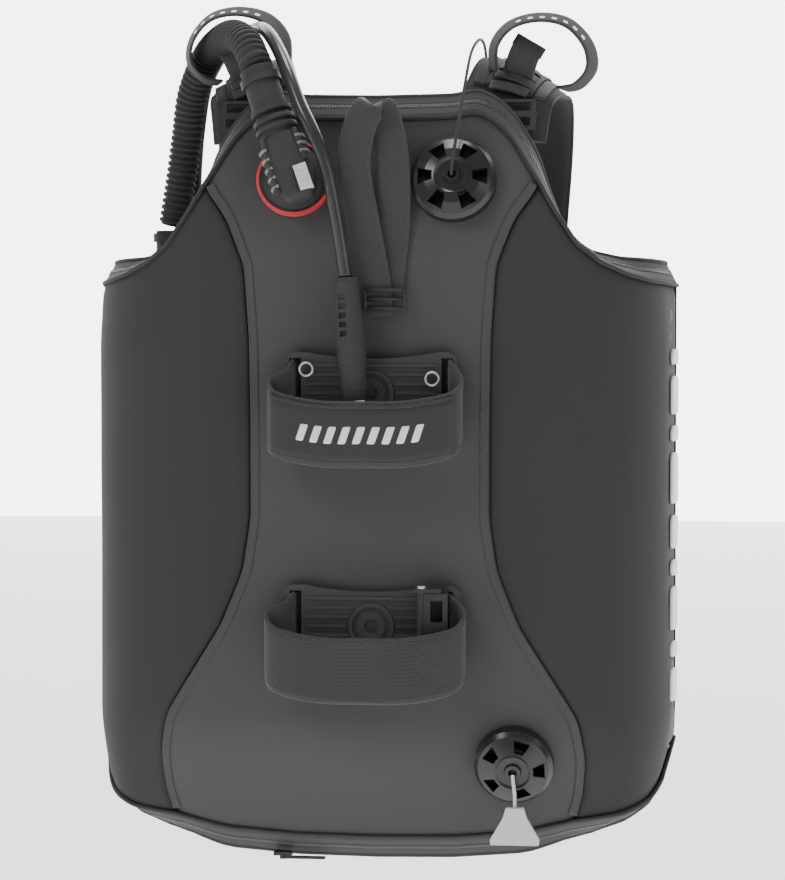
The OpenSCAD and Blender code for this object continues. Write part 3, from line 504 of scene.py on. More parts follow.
def sheet_mesh(name: str, front: Sequence[Sequence[Vector]], back: Sequence[Sequence[Vector]],
               finish: Finish) -> bpy.types.Object:
    """Closed skin between two grids of points."""
    mesh = bmesh.new()
    a = [[mesh.verts.new(p) for p in row] for row in front]
    b = [[mesh.verts.new(p) for p in row] for row in back]
    rows, cols = len(a), len(a[0])
    for i in range(rows - 1):
        for j in range(cols - 1):
            mesh.faces.new((a[i][j], a[i][j + 1], a[i + 1][j + 1], a[i + 1][j]))
            mesh.faces.new((b[i][j], b[i + 1][j], b[i + 1][j + 1], b[i][j + 1]))
    for i in range(rows - 1):
        for j in (0, cols - 1):
            mesh.faces.new((a[i][j], a[i + 1][j], b[i + 1][j], b[i][j]))
    for j in range(cols - 1):
        for i in (0, rows - 1):
            mesh.faces.new((a[i][j], b[i][j], b[i][j + 1], a[i][j + 1]))
    return finish_mesh(name, mesh, finish)


def quilt(name: str, size: tuple[int, int], point: Callable[[int, int, float], Vector],
          faces: tuple[float, float], finish: Finish) -> bpy.types.Object:
    """Closed skin between two faces of a surface.

    Args:
        name: the piece's name.
        size: its count of rows and of columns.
        point: gives the place for a row, a column and a face.
        faces: what tells `point` the front face from the back one.
        finish: its material.

    Returns:
        The new object.
    """
    rows, cols = size
    front, back = ([[point(i, j, face) for j in range(cols + 1)] for i in range(rows + 1)]
                   for face in faces)
    return sheet_mesh(name, front, back, finish)


def stitches(name: str, lines: Sequence[Line], side: float, pitch: float = 3.2 * MM,
             lift: float = 0.0, thick: float = 0.35 * MM) -> bpy.types.Object:
    """Rows of thread: one small bead of thread for each stitch.

    Args:
        name: the piece's name.
        lines: the lines that are sewn.
        side: how far across each line the row lies.
        pitch: length from stitch to stitch.
        lift: height of the thread's middle over the line.
        thick: half thickness of the thread.

    Returns:
        One object that holds every stitch.
    """
    mesh = bmesh.new()
    for line in lines:
        route = even_route([line.at(i, side, lift) for i in range(len(line.path))], pitch)
        dirs = headings(route)
        for k in range(len(route) - 1):
            mid, along = (route[k] + route[k + 1]) / 2, dirs[k]
            if k % 4 == 0:
                near = min(range(len(line.path)), key=lambda i: (line.path[i] - mid).length_squared)
            up = line.out[near]
            wide = along.cross(up).normalized()
            ends = [mesh.verts.new(mid + along * pitch * s * 0.42) for s in (-1, 1)]
            ring = [[mesh.verts.new(mid + along * pitch * s * 0.26 + wide * (thick * c)
                                    + up * (thick * d))
                     for c, d in ((1, 0), (0, 1), (-1, 0), (0, -1))] for s in (-1, 1)]
            for j in range(4):
                m = (j + 1) % 4
                mesh.faces.new((ring[0][j], ring[0][m], ring[1][m], ring[1][j]))
                mesh.faces.new((ends[0], ring[0][m], ring[0][j]))
                mesh.faces.new((ends[1], ring[1][j], ring[1][m]))
    return finish_mesh(name, mesh, Finish.THREAD)


def patch(name: str, outline: Sequence[tuple[float, float]],
          where: Callable[[float, float, float], Vector], thick: float,
          finish: Finish = Finish.PRINT) -> bpy.types.Object:
    """A thin printed shape laid on a surface.

    Args:
        name: the piece's name.
        outline: its closed outline on the flat.
        where: gives the point over the surface for a flat place and a height.
        thick: how far it stands proud.
        finish: its material.

    Returns:
        The new object.
    """
    mesh = bmesh.new()
    cx = sum(p[0] for p in outline) / len(outline)
    cy = sum(p[1] for p in outline) / len(outline)
    top, low = [[mesh.verts.new(where(cx + (x - cx) * s, cy + (y - cy) * s, h)) for x, y in outline]
                for s, h in ((0.97, thick), (1.0, -thick))]
    mid = mesh.verts.new(where(cx, cy, thick))
    inner = [mesh.verts.new(where(cx + (x - cx) * 0.5, cy + (y - cy) * 0.5, thick))
             for x, y in outline]
    base = mesh.verts.new(where(cx, cy, -thick))
    count = len(outline)
    for j in range(count):
        k = (j + 1) % count
        mesh.faces.new((mid, inner[j], inner[k]))
        mesh.faces.new((inner[j], top[j], top[k], inner[k]))
        mesh.faces.new((top[j], low[j], low[k], top[k]))
        mesh.faces.new((low[j], base, low[k]))
    return finish_mesh(name, mesh, finish)


def rounded_box(cx: float, cy: float, w: float, h: float, r: float,
                slant: float = 0.0) -> list[tuple[float, float]]:
    """Outline of a rectangle with round corners, leant sideways by `slant` of its height."""
    out = []
    for sx, sy, start in ((1, 1, 0), (-1, 1, 90), (-1, -1, 180), (1, -1, 270)):
        for k in range(5):
            a = math.radians(start + 22.5 * k)
            y = sy * (h / 2 - r) + r * math.sin(a)
            out.append((cx + sx * (w / 2 - r) + r * math.cos(a) + slant * y, cy + y))
    return out


def settle(piece: bpy.types.Object, slot: str, *nodes: str, body: str = "root") -> bpy.types.Object:
    """Rides a piece on its body and hides the CAD nodes it stands for."""
    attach(piece, body)
    if nodes:
        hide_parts(*nodes)
    log.info("made %s on %s", piece.name, body)
    return piece


def sew(name: str, line: Line, width: float, thick: float, finish: Finish, slot: str, *nodes: str,
        body: str = "root") -> bpy.types.Object:
    """A run of webbing that rides its body, with its width and thickness in millimetres."""
    return settle(webbing(name, line, width * MM, thick * MM, finish), slot, *nodes, body=body)


SIDES = (("left", -1), ("right", 1))
UP = Vector((0, 0, 1))
REAR = Vector((0, -1, 0))


def mirrored(line: Line) -> Line:
    """The same line on the other side of the vest."""
    flip = Vector((-1, 1, 1))
    return Line([p * flip for p in line.path], [a * flip for a in line.across])


# ---- camera, light and floor --------------------------------------------

@dataclass
class Studio:
    """The camera, a pale floor and soft lights."""

    turn: float = math.radians(7.0)
    rise: float = math.radians(2.5)
    distance: float = 2.5
    span: float = 0.669
    aim: Point = (0.018, -0.072, 0.030)
    sensor: float = 36.0

    def camera(self) -> None:
        """Sets the camera behind the vest, a little to its right."""
        data = bpy.data.cameras.new("camera")
        data.sensor_width = self.sensor
        data.lens = self.sensor * self.distance / self.span
        data.clip_end = 50.0
        seen = shown("camera", data)
        back = Vector((math.sin(self.turn) * math.cos(self.rise),
                       -math.cos(self.turn) * math.cos(self.rise), math.sin(self.rise)))
        seen.location = Vector(self.aim) + back * self.distance
        seen.rotation_euler = (-back).to_track_quat("-Z", "Y").to_euler()
        bpy.context.scene.camera = seen

    def light(self, name: str, place: Point, size: float, watts: float) -> None:
        """Adds one soft area light aimed at the vest."""
        data = bpy.data.lights.new(name, "AREA")
        data.size, data.energy = size, watts
        lamp = shown(name, data)
        lamp.location = place
        lamp.rotation_euler = (-Vector(place)).to_track_quat("-Z", "Y").to_euler()

    @staticmethod
    def plane(name: str, size: float, place: Callable[[Vector], Point], look: Maker) -> None:
        """Adds one flat sheet of the surroundings."""
        mesh = bmesh.new()
        bmesh.ops.create_grid(mesh, x_segments=4, y_segments=4, size=size)
        for vert in mesh.verts:
            vert.co = place(vert.co)
        made = finish_mesh(name, mesh, Finish.PRINT)
        made.data.materials[0] = look.material
        made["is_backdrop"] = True

    def room(self) -> None:
        """Floor, backdrop, lights and the pale surroundings."""
        white = (1.0, 1.0, 1.0)
        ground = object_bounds()[0][2] - 0.35
        pale = Maker("pale_floor")
        pale.feed(Base_Color=pale.blend(pale.noise(0.6), (0.93, 0.93, 0.93), (0.96, 0.96, 0.96)),
                  Roughness=0.9, Emission_Color=white, Emission_Strength=0.5)
        self.plane("floor", 9.0, lambda p: (p.x, p.y, ground), pale)
        glow = Maker("backdrop_glow")
        glow.feed(Base_Color=(0.9, 0.9, 0.9), Emission_Color=white, Emission_Strength=4.5)
        self.plane("backdrop", 16.0, lambda p: (p.x, 9.0, p.y + 2.0), glow)
        self.light("key", (-1.5, -2.0, 1.9), 0.9, 24.0)
        self.light("fill", (1.9, -1.6, 0.6), 1.2, 7.0)
        self.light("top", (0.0, -0.1, 2.2), 0.8, 26.0)
        world = bpy.data.worlds.new("studio")
        world.use_nodes = True
        sky = world.node_tree.nodes["Background"].inputs
        sky["Color"].default_value, sky["Strength"].default_value = (*white, 1.0), 0.3
        bpy.context.scene.world = world


# ---- wing ----------------------------------------------------------------

def table(rows: Sequence[tuple[float, float]], x: float) -> float:
    """Straight-line value between listed points."""
    if x <= rows[0][0]:
        return rows[0][1]
    for (a, p), (b, q) in zip(rows, rows[1:]):
        if x <= b:
            return p + (q - p) * (x - a) / (b - a)
    return rows[-1][1]


def soft_table(rows: Sequence[tuple[float, float]], x: float, reach: float) -> float:
    """The same value with its corners rounded over a reach."""
    return sum(table(rows, x + reach * k / 3) * w for k, w in
               ((-3, 1), (-2, 2), (-1, 3), (0, 4), (1, 3), (2, 2), (3, 1))) / 16


def step(x: float) -> float:
    """Smooth step from 0 to 1."""
    t = min(1.0, max(0.0, x))
    return t * t * (3 - 2 * t)


@dataclass
class Wing:
    """The bent fabric wing: panels, seams, gusset and zip. Sizes are in millimetres."""

    flat_half: float = 120.0
    bend: float = 105.0
    depth: float = 72.0
    edge_fall: float = 22.0
    turn: float = math.radians(80.0)
    flank: float = 300.0
    side_top: float = 225.0
    side_bottom: float = -262.0
    grow: float = 18.0
    thick: float = 2.5
    seam_rows: tuple = ((-262, 165), (-243, 170), (-215, 169), (-182, 160), (-148, 138),
                        (-112, 115), (-70, 98), (-30, 92), (42, 92), (106, 93), (163, 97),
                        (198, 111), (225, 131))
    top_crown: tuple = ((0, 49), (60, 50), (80, 54), (95, 47), (108, 35), (121, 13), (131, 0))
    low_crown: tuple = ((0, 15), (60, 14), (110, 10), (165, 0))
    arm_edge: tuple = ((0, 225), (0.07, 204), (0.17, 178), (0.29, 164), (0.44, 155),
                       (0.62, 150), (1, 147))
    hip_edge: tuple = ((0, -262), (0.3, -258), (0.55, -250), (0.75, -238), (1, -208))

    def seam(self, z: float) -> float:
        """Half width of the centre panel at a height."""
        return soft_table(self.seam_rows, z, 9.0)

    def fall(self, s: float, z: float) -> float:
        """How far the face falls away near the top and bottom."""
        keep = 1 - 0.75 * step((abs(s) - 140) / 90)
        return keep * self.edge_fall * (step((z - 170) / 110) + step((-180 - z) / 95))

    def inner(self, s: float) -> float:
        """Depth of the wearer-side panel under the outermost face."""
        return self.depth - 26 - 36 * step((abs(s) - 190) / 100)

    def point(self, s: float, z: float, n: float) -> Vector:
        """Point s along the fabric, z up and n in from the outermost face, in metres."""
        side, a, r = math.copysign(1, s), abs(s), self.bend - n
        angle = min(self.turn, max(0.0, a - self.flat_half) / self.bend)
        past = max(0.0, a - self.flat_half - self.bend * self.turn)
        x = min(a, self.flat_half) + r * math.sin(angle) + past * math.cos(self.turn)
        y = -self.depth + self.bend - r * math.cos(angle) + past * math.sin(self.turn)
        return Vector((side * x, y, z)) * MM

    def outer(self, s: float, z: float, n: float) -> Vector:
        """Point of the rear face, n in from it."""
        return self.point(s, z, min(self.fall(s, z) + n, self.inner(s) - 5 + n * 0.2))

    def centre(self, u: float, v: float) -> tuple[float, float]:
        """Flat place on the centre panel, u from -1 to 1 and v from 0 to 1."""
        row = self.side_bottom + (self.side_top - self.side_bottom) * v
        s = u * self.seam(row)
        edge = abs(u * (165 if v < 0.5 else 131))
        crown = soft_table(self.top_crown, edge, 8.0) if edge < 120 else table(self.top_crown, edge)
        return s, row + crown * v ** 6 - table(self.low_crown, edge) * (1 - v) ** 6

    def side(self, u: float, v: float) -> tuple[float, float]:
        """Flat place on a side panel, u from its seam to the flank's edge."""
        row = self.side_bottom + (self.side_top - self.side_bottom) * v
        low, high = table(self.hip_edge, u), table(self.arm_edge, u)
        return self.seam(row) + (self.flank - self.seam(row)) * u, low + (high - low) * v

    def whole(self, w: float, v: float, grown: float) -> tuple[float, float]:
        """Flat place on the whole back, w from -1 to 1, grown past its ends."""
        q = abs(w) * 2
        s, z = self.centre(q, v) if q < 1 else self.side(q - 1, v)
        return math.copysign(s, w), z + grown * (-((1 - v) ** 8) if v < 0.5 else v ** 8)

    @staticmethod
    def crease(p: Vector, size: float, depth: float) -> float:
        """Soft unevenness of hanging fabric, in millimetres."""
        broad = noise.noise(Vector((p.x * size, p.y * size, p.z * size * 0.6)))
        fine = noise.noise(Vector((p.x * size * 3.1 + 5.0, p.y * size * 2.0, p.z * size * 2.2)))
        return depth * (broad + 0.3 * fine)

    def centre_panel(self) -> None:
        """Smooth charcoal panel, tucked in at its seams and gently puffed."""
        rows, cols = 120, 64

        def face(i: int, j: int, inside: float) -> Vector:
            """Point of the panel at a depth."""
            u, v = 2 * j / cols - 1, i / rows
            s, z = self.centre(u * 0.997, v)
            near, ends = min(1 - abs(u), 0.5) * self.seam(z), min(v, 1 - v) * 487
            tuck = 2.2 * math.exp(-((near / 5.0) ** 2)) + 1.6 * math.exp(-((ends / 7.0) ** 2))
            puff = 1.5 * step(near / 45) * step(ends / 60)
            rough = self.crease(self.point(s, z, 0), 9.0, 0.9) * step(near / 30)
            return self.outer(s, z, inside + tuck - puff - rough)

        piece = quilt("rear_centre_skin", (rows, cols), face, (0.0, self.thick), Finish.CENTER_FABRIC)
        settle(piece, "center_fabric", "rear_panel_center")

    def side_panels(self) -> None:
        """Matt stretch panels that wrap round both flanks."""
        rows, cols = 90, 64
        for name, hand in SIDES:
            def face(i: int, j: int, inside: float, hand: int = hand) -> Vector:
                """Point of the panel at a depth."""
                u, v = j / cols, i / rows
                s, z = self.side(u, v)
                near, ends = u * 170, min(v, 1 - v) * 430
                tuck = 2.0 * math.exp(-((near / 4.0) ** 2)) + 1.8 * math.exp(-((ends / 7.0) ** 2))
                hem = 1.2 * math.exp(-(((1 - u) * 170 / 6.0) ** 2))
                puff = 2.4 * step(near / 60) * step(ends / 60) * step((1 - u) * 4)
                rough = self.crease(self.point(hand * s, z, 0), 7.0, 1.4) * step(near / 30)
                return self.outer(hand * (s + 0.4), z, inside + tuck + hem - puff - rough)

            piece = quilt(f"rear_side_skin_{name}", (rows, cols), face, (0.0, self.thick),
                          Finish.SIDE_FABRIC)
            settle(piece, "side_fabric", "rear_side_panels")

    def seam_line(self, hand: int, inset: float, count: int = 150) -> Line:
        """A line down the centre panel, `inset` in from its seam."""
        path, across = [], []
        for k in range(count + 1):
            v = 0.006 + 0.988 * k / count
            s, z = self.centre(1.0, v)
            back, ahead = (Vector(self.centre(1.0, t)) for t in (max(0, v - 0.01), min(1, v + 0.01)))
            side = Vector(((ahead - back).y, -(ahead - back).x)).normalized()
            s, z = s - side.x * inset, z - side.y * inset
            path.append(self.outer(hand * s, z, 0.1))
            across.append(self.outer(hand * (s + side.x), z + side.y, 0.1) - path[-1])
        return Line(path, across)

    def seams(self) -> None:
        """Cover-stitched seam bands beside the centre panel's two seams."""
        for name, hand in SIDES:
            line = self.seam_line(hand, 4.2)
            sew(f"seam_band_{name}", line, 6.8, 0.9, Finish.CENTER_FABRIC, "center_fabric")
            lift = 0.5 * MM * line.faces(len(line.path) // 2, REAR)
            for row, offset in (("inner", -2.4), ("outer", 2.4)):
                settle(stitches(f"seam_thread_{name}_{row}", [line], offset * MM, 3.0 * MM, lift,
                                0.34 * MM), "binding")

    def edge_point(self, v: float, w: float, t: float, proud: float) -> Vector:
        """Point of the slanting edge at share t from the rear panel to the wearer's side."""
        s, z = self.whole(w, v, t * self.grow + proud)
        rear = self.outer(*self.whole(w, v, 0.0), 0.0)
        near = self.point(s, z, self.inner(s))
        mid = rear.lerp(near, t)
        return Vector((mid.x, mid.y, z * MM))

    def edge_strip(self, name: str, v: float, t0: float, t1: float, thick: float, proud: float,
                   finish: Finish, count: int = 170) -> Line:
        """A tape round the top or bottom edge, between two shares of its depth."""
        low, high = ([self.edge_point(v, 2 * k / count - 1, t, proud) for k in range(count + 1)]
                     for t in (t0, t1))
        line = Line([a.lerp(b, 0.5) for a, b in zip(low, high)], [b - a for a, b in zip(low, high)])
        widths = [(b - a).length for a, b in zip(low, high)]
        piece = sweep(name, line, lambda i, run: flat_section(widths[i], thick * MM, 4), finish)
        settle(piece, "binding", "zip_gusset", "zip_chain")
        return line

    def bead(self, name: str, v: float, t: float, radius: float, proud: float,
             finish: Finish) -> None:
        """Round piping along the top or bottom edge."""
        path = [self.edge_point(v, 2 * k / 190 - 1, t, proud) for k in range(191)]
        settle(pipe(name, path, radius * MM, finish, 10), "binding")

    def gusset(self) -> None:
        """Piping, woven tapes and the coil zip round the top and the bottom."""
        for name, v in (("top", 1.0), ("bottom", 0.0)):
            self.bead(f"rear_piping_{name}", v, 0.02, 1.7, 0.4, Finish.PAD_FABRIC)
            outer = self.edge_strip(f"outer_tape_{name}", v, 0.08, 0.40, 1.2, 0.8, Finish.BINDING)
            inner = self.edge_strip(f"inner_tape_{name}", v, 0.56, 0.94, 1.2, 0.8, Finish.BINDING)
            self.bead(f"hem_piping_{name}", v, 0.98, 2.3, 0.2, Finish.BINDING)
            self.teeth(f"zip_coil_{name}", v)
            settle(stitches(f"gusset_thread_{name}", [outer, inner], 0.0, 3.0 * MM, 0.0, 0.7 * MM),
                   "binding")

    def teeth(self, name: str, v: float, count: int = 170) -> None:
        """Coil of the zip: a bed with two rows of small ribs that meet in the middle."""
        bed = [self.edge_point(v, 2 * k / count - 1, 0.48, 1.0) for k in range(count + 1)]
        side = [self.edge_point(v, 2 * k / count - 1, 0.56, 1.0) - p for k, p in enumerate(bed)]
        line = Line(bed, side)
        settle(sweep(f"{name}_bed", line, lambda i, run: flat_section(5.2 * MM, 0.8 * MM, 4),
                     Finish.BLACK_PLASTIC), "black_plastic")
        route = even_route(bed, 2.1 * MM)
        ahead = headings(route)
        mesh = bmesh.new()
        for k in range(1, len(route) - 1):
            guess = k * count // len(route)
            near = min(range(max(0, guess - 6), min(count + 1, guess + 7)),
                       key=lambda i: (line.path[i] - route[k]).length_squared)
            wide, up = line.across[near], line.out[near]
            for s in (-1, 1):
                mid = route[k] + ahead[k] * (0.5 * MM * s)
                skin_rings(mesh, [[mid + wide * (s * a * MM) + ahead[k] * (b * MM) + up * (c * MM)
                                 for b, c in ((-0.45, -1.0), (0.45, -1.0), (0.3, 1.1), (-0.3, 1.1))]
                                for a in (0.15, 2.1)])
        settle(finish_mesh(name, mesh, Finish.ZIP_TEETH), "black_plastic")

    def flank_marks(self) -> None:
        """Generic white bars printed up the right flank."""
        z, wide, gap = -178.0, 22, 9
        for k, length in enumerate((26, 12, 34, 12, 26, 40, 12, 30, 12)):
            piece = patch(f"flank_mark_{k}", rounded_box(279, z + length / 2, wide, length, 5.5),
                          lambda s, h, up: self.outer(s, h, -2.6 - up * 1000), 0.9 * MM)
            settle(piece, "side_fabric")
            z += length + gap

    def wearer_side(self) -> None:
        """Quilted inner panel on the wearer's side."""
        rows, cols = 70, 90

        def face(i: int, j: int, inside: float) -> Vector:
            """Point of the panel at a depth, ribbed on its hidden face."""
            s, z = self.whole(2 * j / cols - 1, i / rows, self.grow)
            rib = abs(math.sin(s * math.pi / 60)) ** 0.5 * 1.6
            return self.point(s, z, self.inner(s) + inside + (rib if inside else 0))

        piece = quilt("wearer_side_panel", (rows, cols), face, (0.0, 1.6), Finish.PAD_FABRIC)
        settle(piece, "pad_fabric", "body_panel")

    def cell(self) -> None:
        """Air cell inside the wing, swollen between welded rims that pucker slightly."""
        rows, cols = 60, 84

        def face(i: int, j: int, way: float) -> Vector:
            """Point of the cell's rear wall, at -1, or of its wearer's side wall, at 1."""
            s, z = self.whole((2 * j / cols - 1) * 0.94, 0.04 + 0.92 * i / rows, -6.0)
            near = self.inner(s) - 6 - 4 * step((abs(s) - 170) / 60)
            far = min(self.fall(s, z) + 6, near - 4)
            rim = min(1.0, min(j, cols - j) / 6, min(i, rows - i) / 5)
            pucker = 0.5 * math.sin(1.9 * (i + j)) * (1 - rim)
            swell = (near - far) / 2 * (0.12 + 0.88 * math.sin(rim * math.pi / 2)) + pucker
            return self.point(s, z, (near + far) / 2 + way * swell)

        piece = quilt("air_cell_skin", (rows, cols), face, (-1.0, 1.0), Finish.BLADDER)
        settle(piece, "bladder", "air_cell")

    def flank_strips(self) -> None:
        """Rounded fabric turn that closes each flank from the rear panel to the wearer's side."""
        rows, cols = 110, 8
        for name, hand in SIDES:
            def face(i: int, j: int, proud: float, hand: int = hand) -> Vector:
                """Point of the turn, standing out by a bulge."""
                s, z = self.whole(hand, i / rows, 0.0)
                far_s, far_z = self.whole(hand, i / rows, self.grow)
                a, b = self.outer(s, z, 0.6), self.point(far_s, far_z, self.inner(far_s) + 1.0)
                away = (self.point(s + hand * 6, z, 8.0) - self.point(s, z, 8.0)).normalized()
                return a.lerp(b, j / cols) + away * proud * MM * (0.25 + math.sin(math.pi * j / cols))

            piece = quilt(f"flank_turn_{name}", (rows, cols), face, (0.3, 1.9), Finish.SIDE_FABRIC)
            settle(piece, "side_fabric")

    def build(self) -> None:
        """Makes the whole wing."""
        self.centre_panel()
        self.side_panels()
        self.flank_strips()
        self.cell()
        self.seams()
        self.gusset()
        self.flank_marks()
        self.wearer_side()


# ---- tank fixings --------------------------------------------------------

@dataclass
class TankFixings:
    """Bands that hold the cylinder, their sleeve and sewing. Sizes are in millimetres."""

    back: float = -74.0
    pad_x: float = 3.0
    slot_x: float = 58.0
    band_width: float = 50.0
    clear_of_pad: float = -90.0
    front_face: float = -106.0
    sleeve_half: float = 69.0

    def route(self, at_slot: float, in_front: float, reach: float, wide: float) -> list[Vector]:
        """A band's way behind its pad, out through both slots and round the cylinder's side."""
        b, o = self.back, self.back - 5.5

        def half(hand: int, inner: float) -> list[Point]:
            """From behind the pad to the front, on one side."""
            def z(t: float) -> float:
                """Height at a share of the way from slot to front."""
                return at_slot + (in_front - at_slot) * t
            x = self.pad_x * hand
            return [(hand * (x + 50), b, z(0)), (hand * (x + 57), b - 0.8, z(0)),
                    (hand * (x + self.slot_x + 1.5), b - 4.5, z(0)),
                    (hand * (x + self.slot_x + 2.3), b - 10, z(0)),
                    (hand * inner, b - 16, z(0.2)), (hand * (wide + 6), o - 17, z(0.45)),
                    (hand * wide, o - 29, z(0.75)), (hand * (wide - 20), reach + 6, z(0.92)),
                    (hand * (wide - 42), reach + 2, in_front)]

        right, left = half(1, wide + 2), half(-1, wide - 6)
        start = [(self.pad_x, b, at_slot), (self.pad_x + 30, b, at_slot)]
        end = [(self.pad_x - 30, b, at_slot), (self.pad_x - 2, b, at_slot)]
        return metres(start + right + [(0, reach, in_front)] + left[::-1] + end)

    def band(self, name: str, route: list[Vector], thick: float, finish: Finish, node: str) -> Line:
        """One band of webbing with stitched selvedges."""
        path = even_route(smooth_route(route, 8), 3.0 * MM)
        line = Line(path, [Vector((0, 0, 1))] * len(path), upright=True)
        width = self.band_width * MM

        def section(i: int, run: float) -> list[tuple[float, float]]:
            """Outline with a slow ripple, flat where it passes the pad."""
            away = step((self.back * MM - path[i].y - 0.012) / 0.02)
            lift = 0.9 * MM * math.sin(run * 61.0) * away
            return [(a, b + lift * (2 * a / width) ** 3) for a, b in
                    flat_section(width, thick * MM, 10)]

        piece = settle(sweep(name, line, section, finish), "webbing", node)
        line.lengths()[-1]
        return line

    def label(self, line: Line) -> None:
        """Sleeve on the upper band's front with a plain row of slanted bars."""
        front = [i for i, p in enumerate(line.path) if p.y < self.front_face * MM
                 and abs(p.x) < self.sleeve_half * MM]
        part = line.part(front[0], front[-1] + 1)
        sign = part.faces(len(part.path) // 2, REAR)
        lifted = Line([part.at(i, -0.5 * MM, sign * 2.3 * MM) for i in range(len(part.path))],
                      part.across, upright=True)
        sew("band_label_sleeve", lifted, 45, 1.8, Finish.SLEEVE, "binding", "band_sleeve")
        for k, side in enumerate((-20.4, 20.4)):
            settle(stitches(f"sleeve_thread_{k}", [lifted], side * MM, 3.0 * MM, sign * 1.0 * MM),
                   "binding")
        run = lifted.lengths()
        middle = run[-1] / 2
        onward = 1 if lifted.path[0].x > lifted.path[-1].x else -1

        def on_face(x: float, z: float, up: float) -> Vector:
            """Point over the sleeve at x along it from its middle and z across it."""
            want = middle - x * MM * onward
            k = max(0, min(len(run) - 2, next((i for i, r in enumerate(run) if r > want), 1) - 1))
            share = (want - run[k]) / (run[k + 1] - run[k])
            a, b = (lifted.at(i, z * MM, sign * (0.95 * MM + up)) for i in (k, k + 1))
            return a.lerp(b, share)

        for k in range(9):
            outline = rounded_box(-44 + 11 * k, 0, 6.0, 13.0, 1.2, 0.35)
            settle(patch(f"label_bar_{k}", outline, on_face, 0.15 * MM), "binding")

    def build(self) -> None:
        """Makes both bands and the sleeve."""
        upper = self.band("upper_band_webbing", self.route(66, 36, -120, 67), 2.2,
                          Finish.BAND_WEBBING, "upper_tank_band")
        lower = self.band("cam_band_webbing", self.route(-111, -141, -124, 69), 2.9,
                          Finish.CAM_WEBBING, "lower_cam_band")
        self.label(upper)
        for name, line in (("upper", upper), ("lower", lower)):
            outside = [i for i, p in enumerate(line.path) if p.y < self.clear_of_pad * MM]
            part = line.part(outside[0], outside[-1] + 1)
            lift = part.faces(len(part.path) // 2, REAR) * 1.25 * MM
            for k, side in enumerate((-22.6, 22.6)):
                settle(stitches(f"{name}_band_thread_{k}", [part], side * MM, 3.4 * MM, lift), "webbing")


# ---- hoses and cords -----------------------------------------------------

@dataclass
class Hoses:
    """The corrugated hose, the low pressure hose and the pull cord. Sizes in millimetres."""

    hose_d: float = 25.0
    rib_pitch: float = 5.2
    low_pressure_d: float = 10.5
    cord_d: float = 2.6
    hose_route: tuple = ((-87, -65, 314), (-91, -61, 322), (-98, -49, 333), (-111, -26, 341),
                         (-126, 1, 339), (-142, 25, 327), (-157, 44, 299), (-164, 56, 266),
                         (-170, 64, 234), (-175, 69.2, 209), (-177.3, 71.4, 197))
    low_pressure_route: tuple = (
        (-162, 91, 161.6), (-162, 91, 170), (-162, 91, 178), (-163, 88, 202), (-162, 84, 236),
        (-158, 77, 272), (-150, 64, 306), (-136, 47, 328), (-121, 25, 340), (-106, 2, 345),
        (-93, -18, 347), (-83, -38, 342), (-72, -58, 328), (-61, -76, 308), (-50, -89, 283),
        (-40, -95, 264), (-30, -97, 239), (-24, -97, 213), (-19, -96, 184), (-15.2, -95, 158),
        (-14.6, -94.8, 153.2))
    cord_route: tuple = (
        (64, -79, 231), (64, -84, 232.6), (65, -86, 240), (67, -82, 256), (70, -70, 282),
        (72, -50, 307), (73, -24, 326), (75, 4, 337), (76, 34, 340), (76, 62, 334), (75, 88, 314),
        (74, 105, 284), (73, 113, 254), (72, 115, 228), (72, 115, 214), (72, 115, 200))

    def declare(self, piece: bpy.types.Object, path: list[Vector], diameter: float) -> None:
        """Logs a cord's real length."""
        length = run_along(path)[-1]
        log.info("%s is %.3f m long", piece.name, length)
        tuple(path[0])
        [tuple(p) for p in path]

    def corrugated(self) -> None:
        """Ribbed hose over the left shoulder."""
        path = even_route(smooth_route(metres(self.hose_route), 12), self.rib_pitch * MM / 8)
        pitch, outer = self.rib_pitch * MM, self.hose_d * MM / 2
        root = outer - 2.0 * MM

        def radius(run: float) -> float:
            """Square-shouldered ribs."""
            wave = math.cos(2 * math.pi * run / pitch)
            return root + (outer - root) * step(wave * 1.1 + 0.5)

        piece = pipe("corrugated_hose_skin", path, radius, Finish.HOSE_RUBBER, 28)
        settle(piece, "hose_rubber", "corrugated_hose")
        self.declare(piece, path[::8], self.hose_d)

    def low_pressure(self) -> None:
        """Smooth thin hose with its two crimped ferrules."""
        path = even_route(smooth_route(metres(self.low_pressure_route), 8), 3.0 * MM)
        piece = pipe("low_pressure_hose_skin", path, self.low_pressure_d * MM / 2, 
                     Finish.GLOSS_HOSE, 20)
        settle(piece, "hose_rubber", "lp_hose")
        self.declare(piece, path, self.low_pressure_d)

    def pull_cord(self) -> None:
        """Thin cord from the shoulder valve to its knob."""
        path = even_route(smooth_route(metres(self.cord_route), 6), 1.5 * MM)
        piece = pipe("shoulder_cord_skin", path,
                     lambda run: self.cord_d * MM / 2 * (0.93 + 0.07 * math.cos(run * 2500)),
                     Finish.HOSE_RUBBER, 10)
        settle(piece, "hose_rubber", "shoulder_pull_cord")
        self.declare(piece, path[::3] + [path[-1]], self.cord_d)

    def build(self) -> None:
        """Makes every hose and cord."""
        self.corrugated()
        self.low_pressure()
        self.pull_cord()


# ---- harness -------------------------------------------------------------

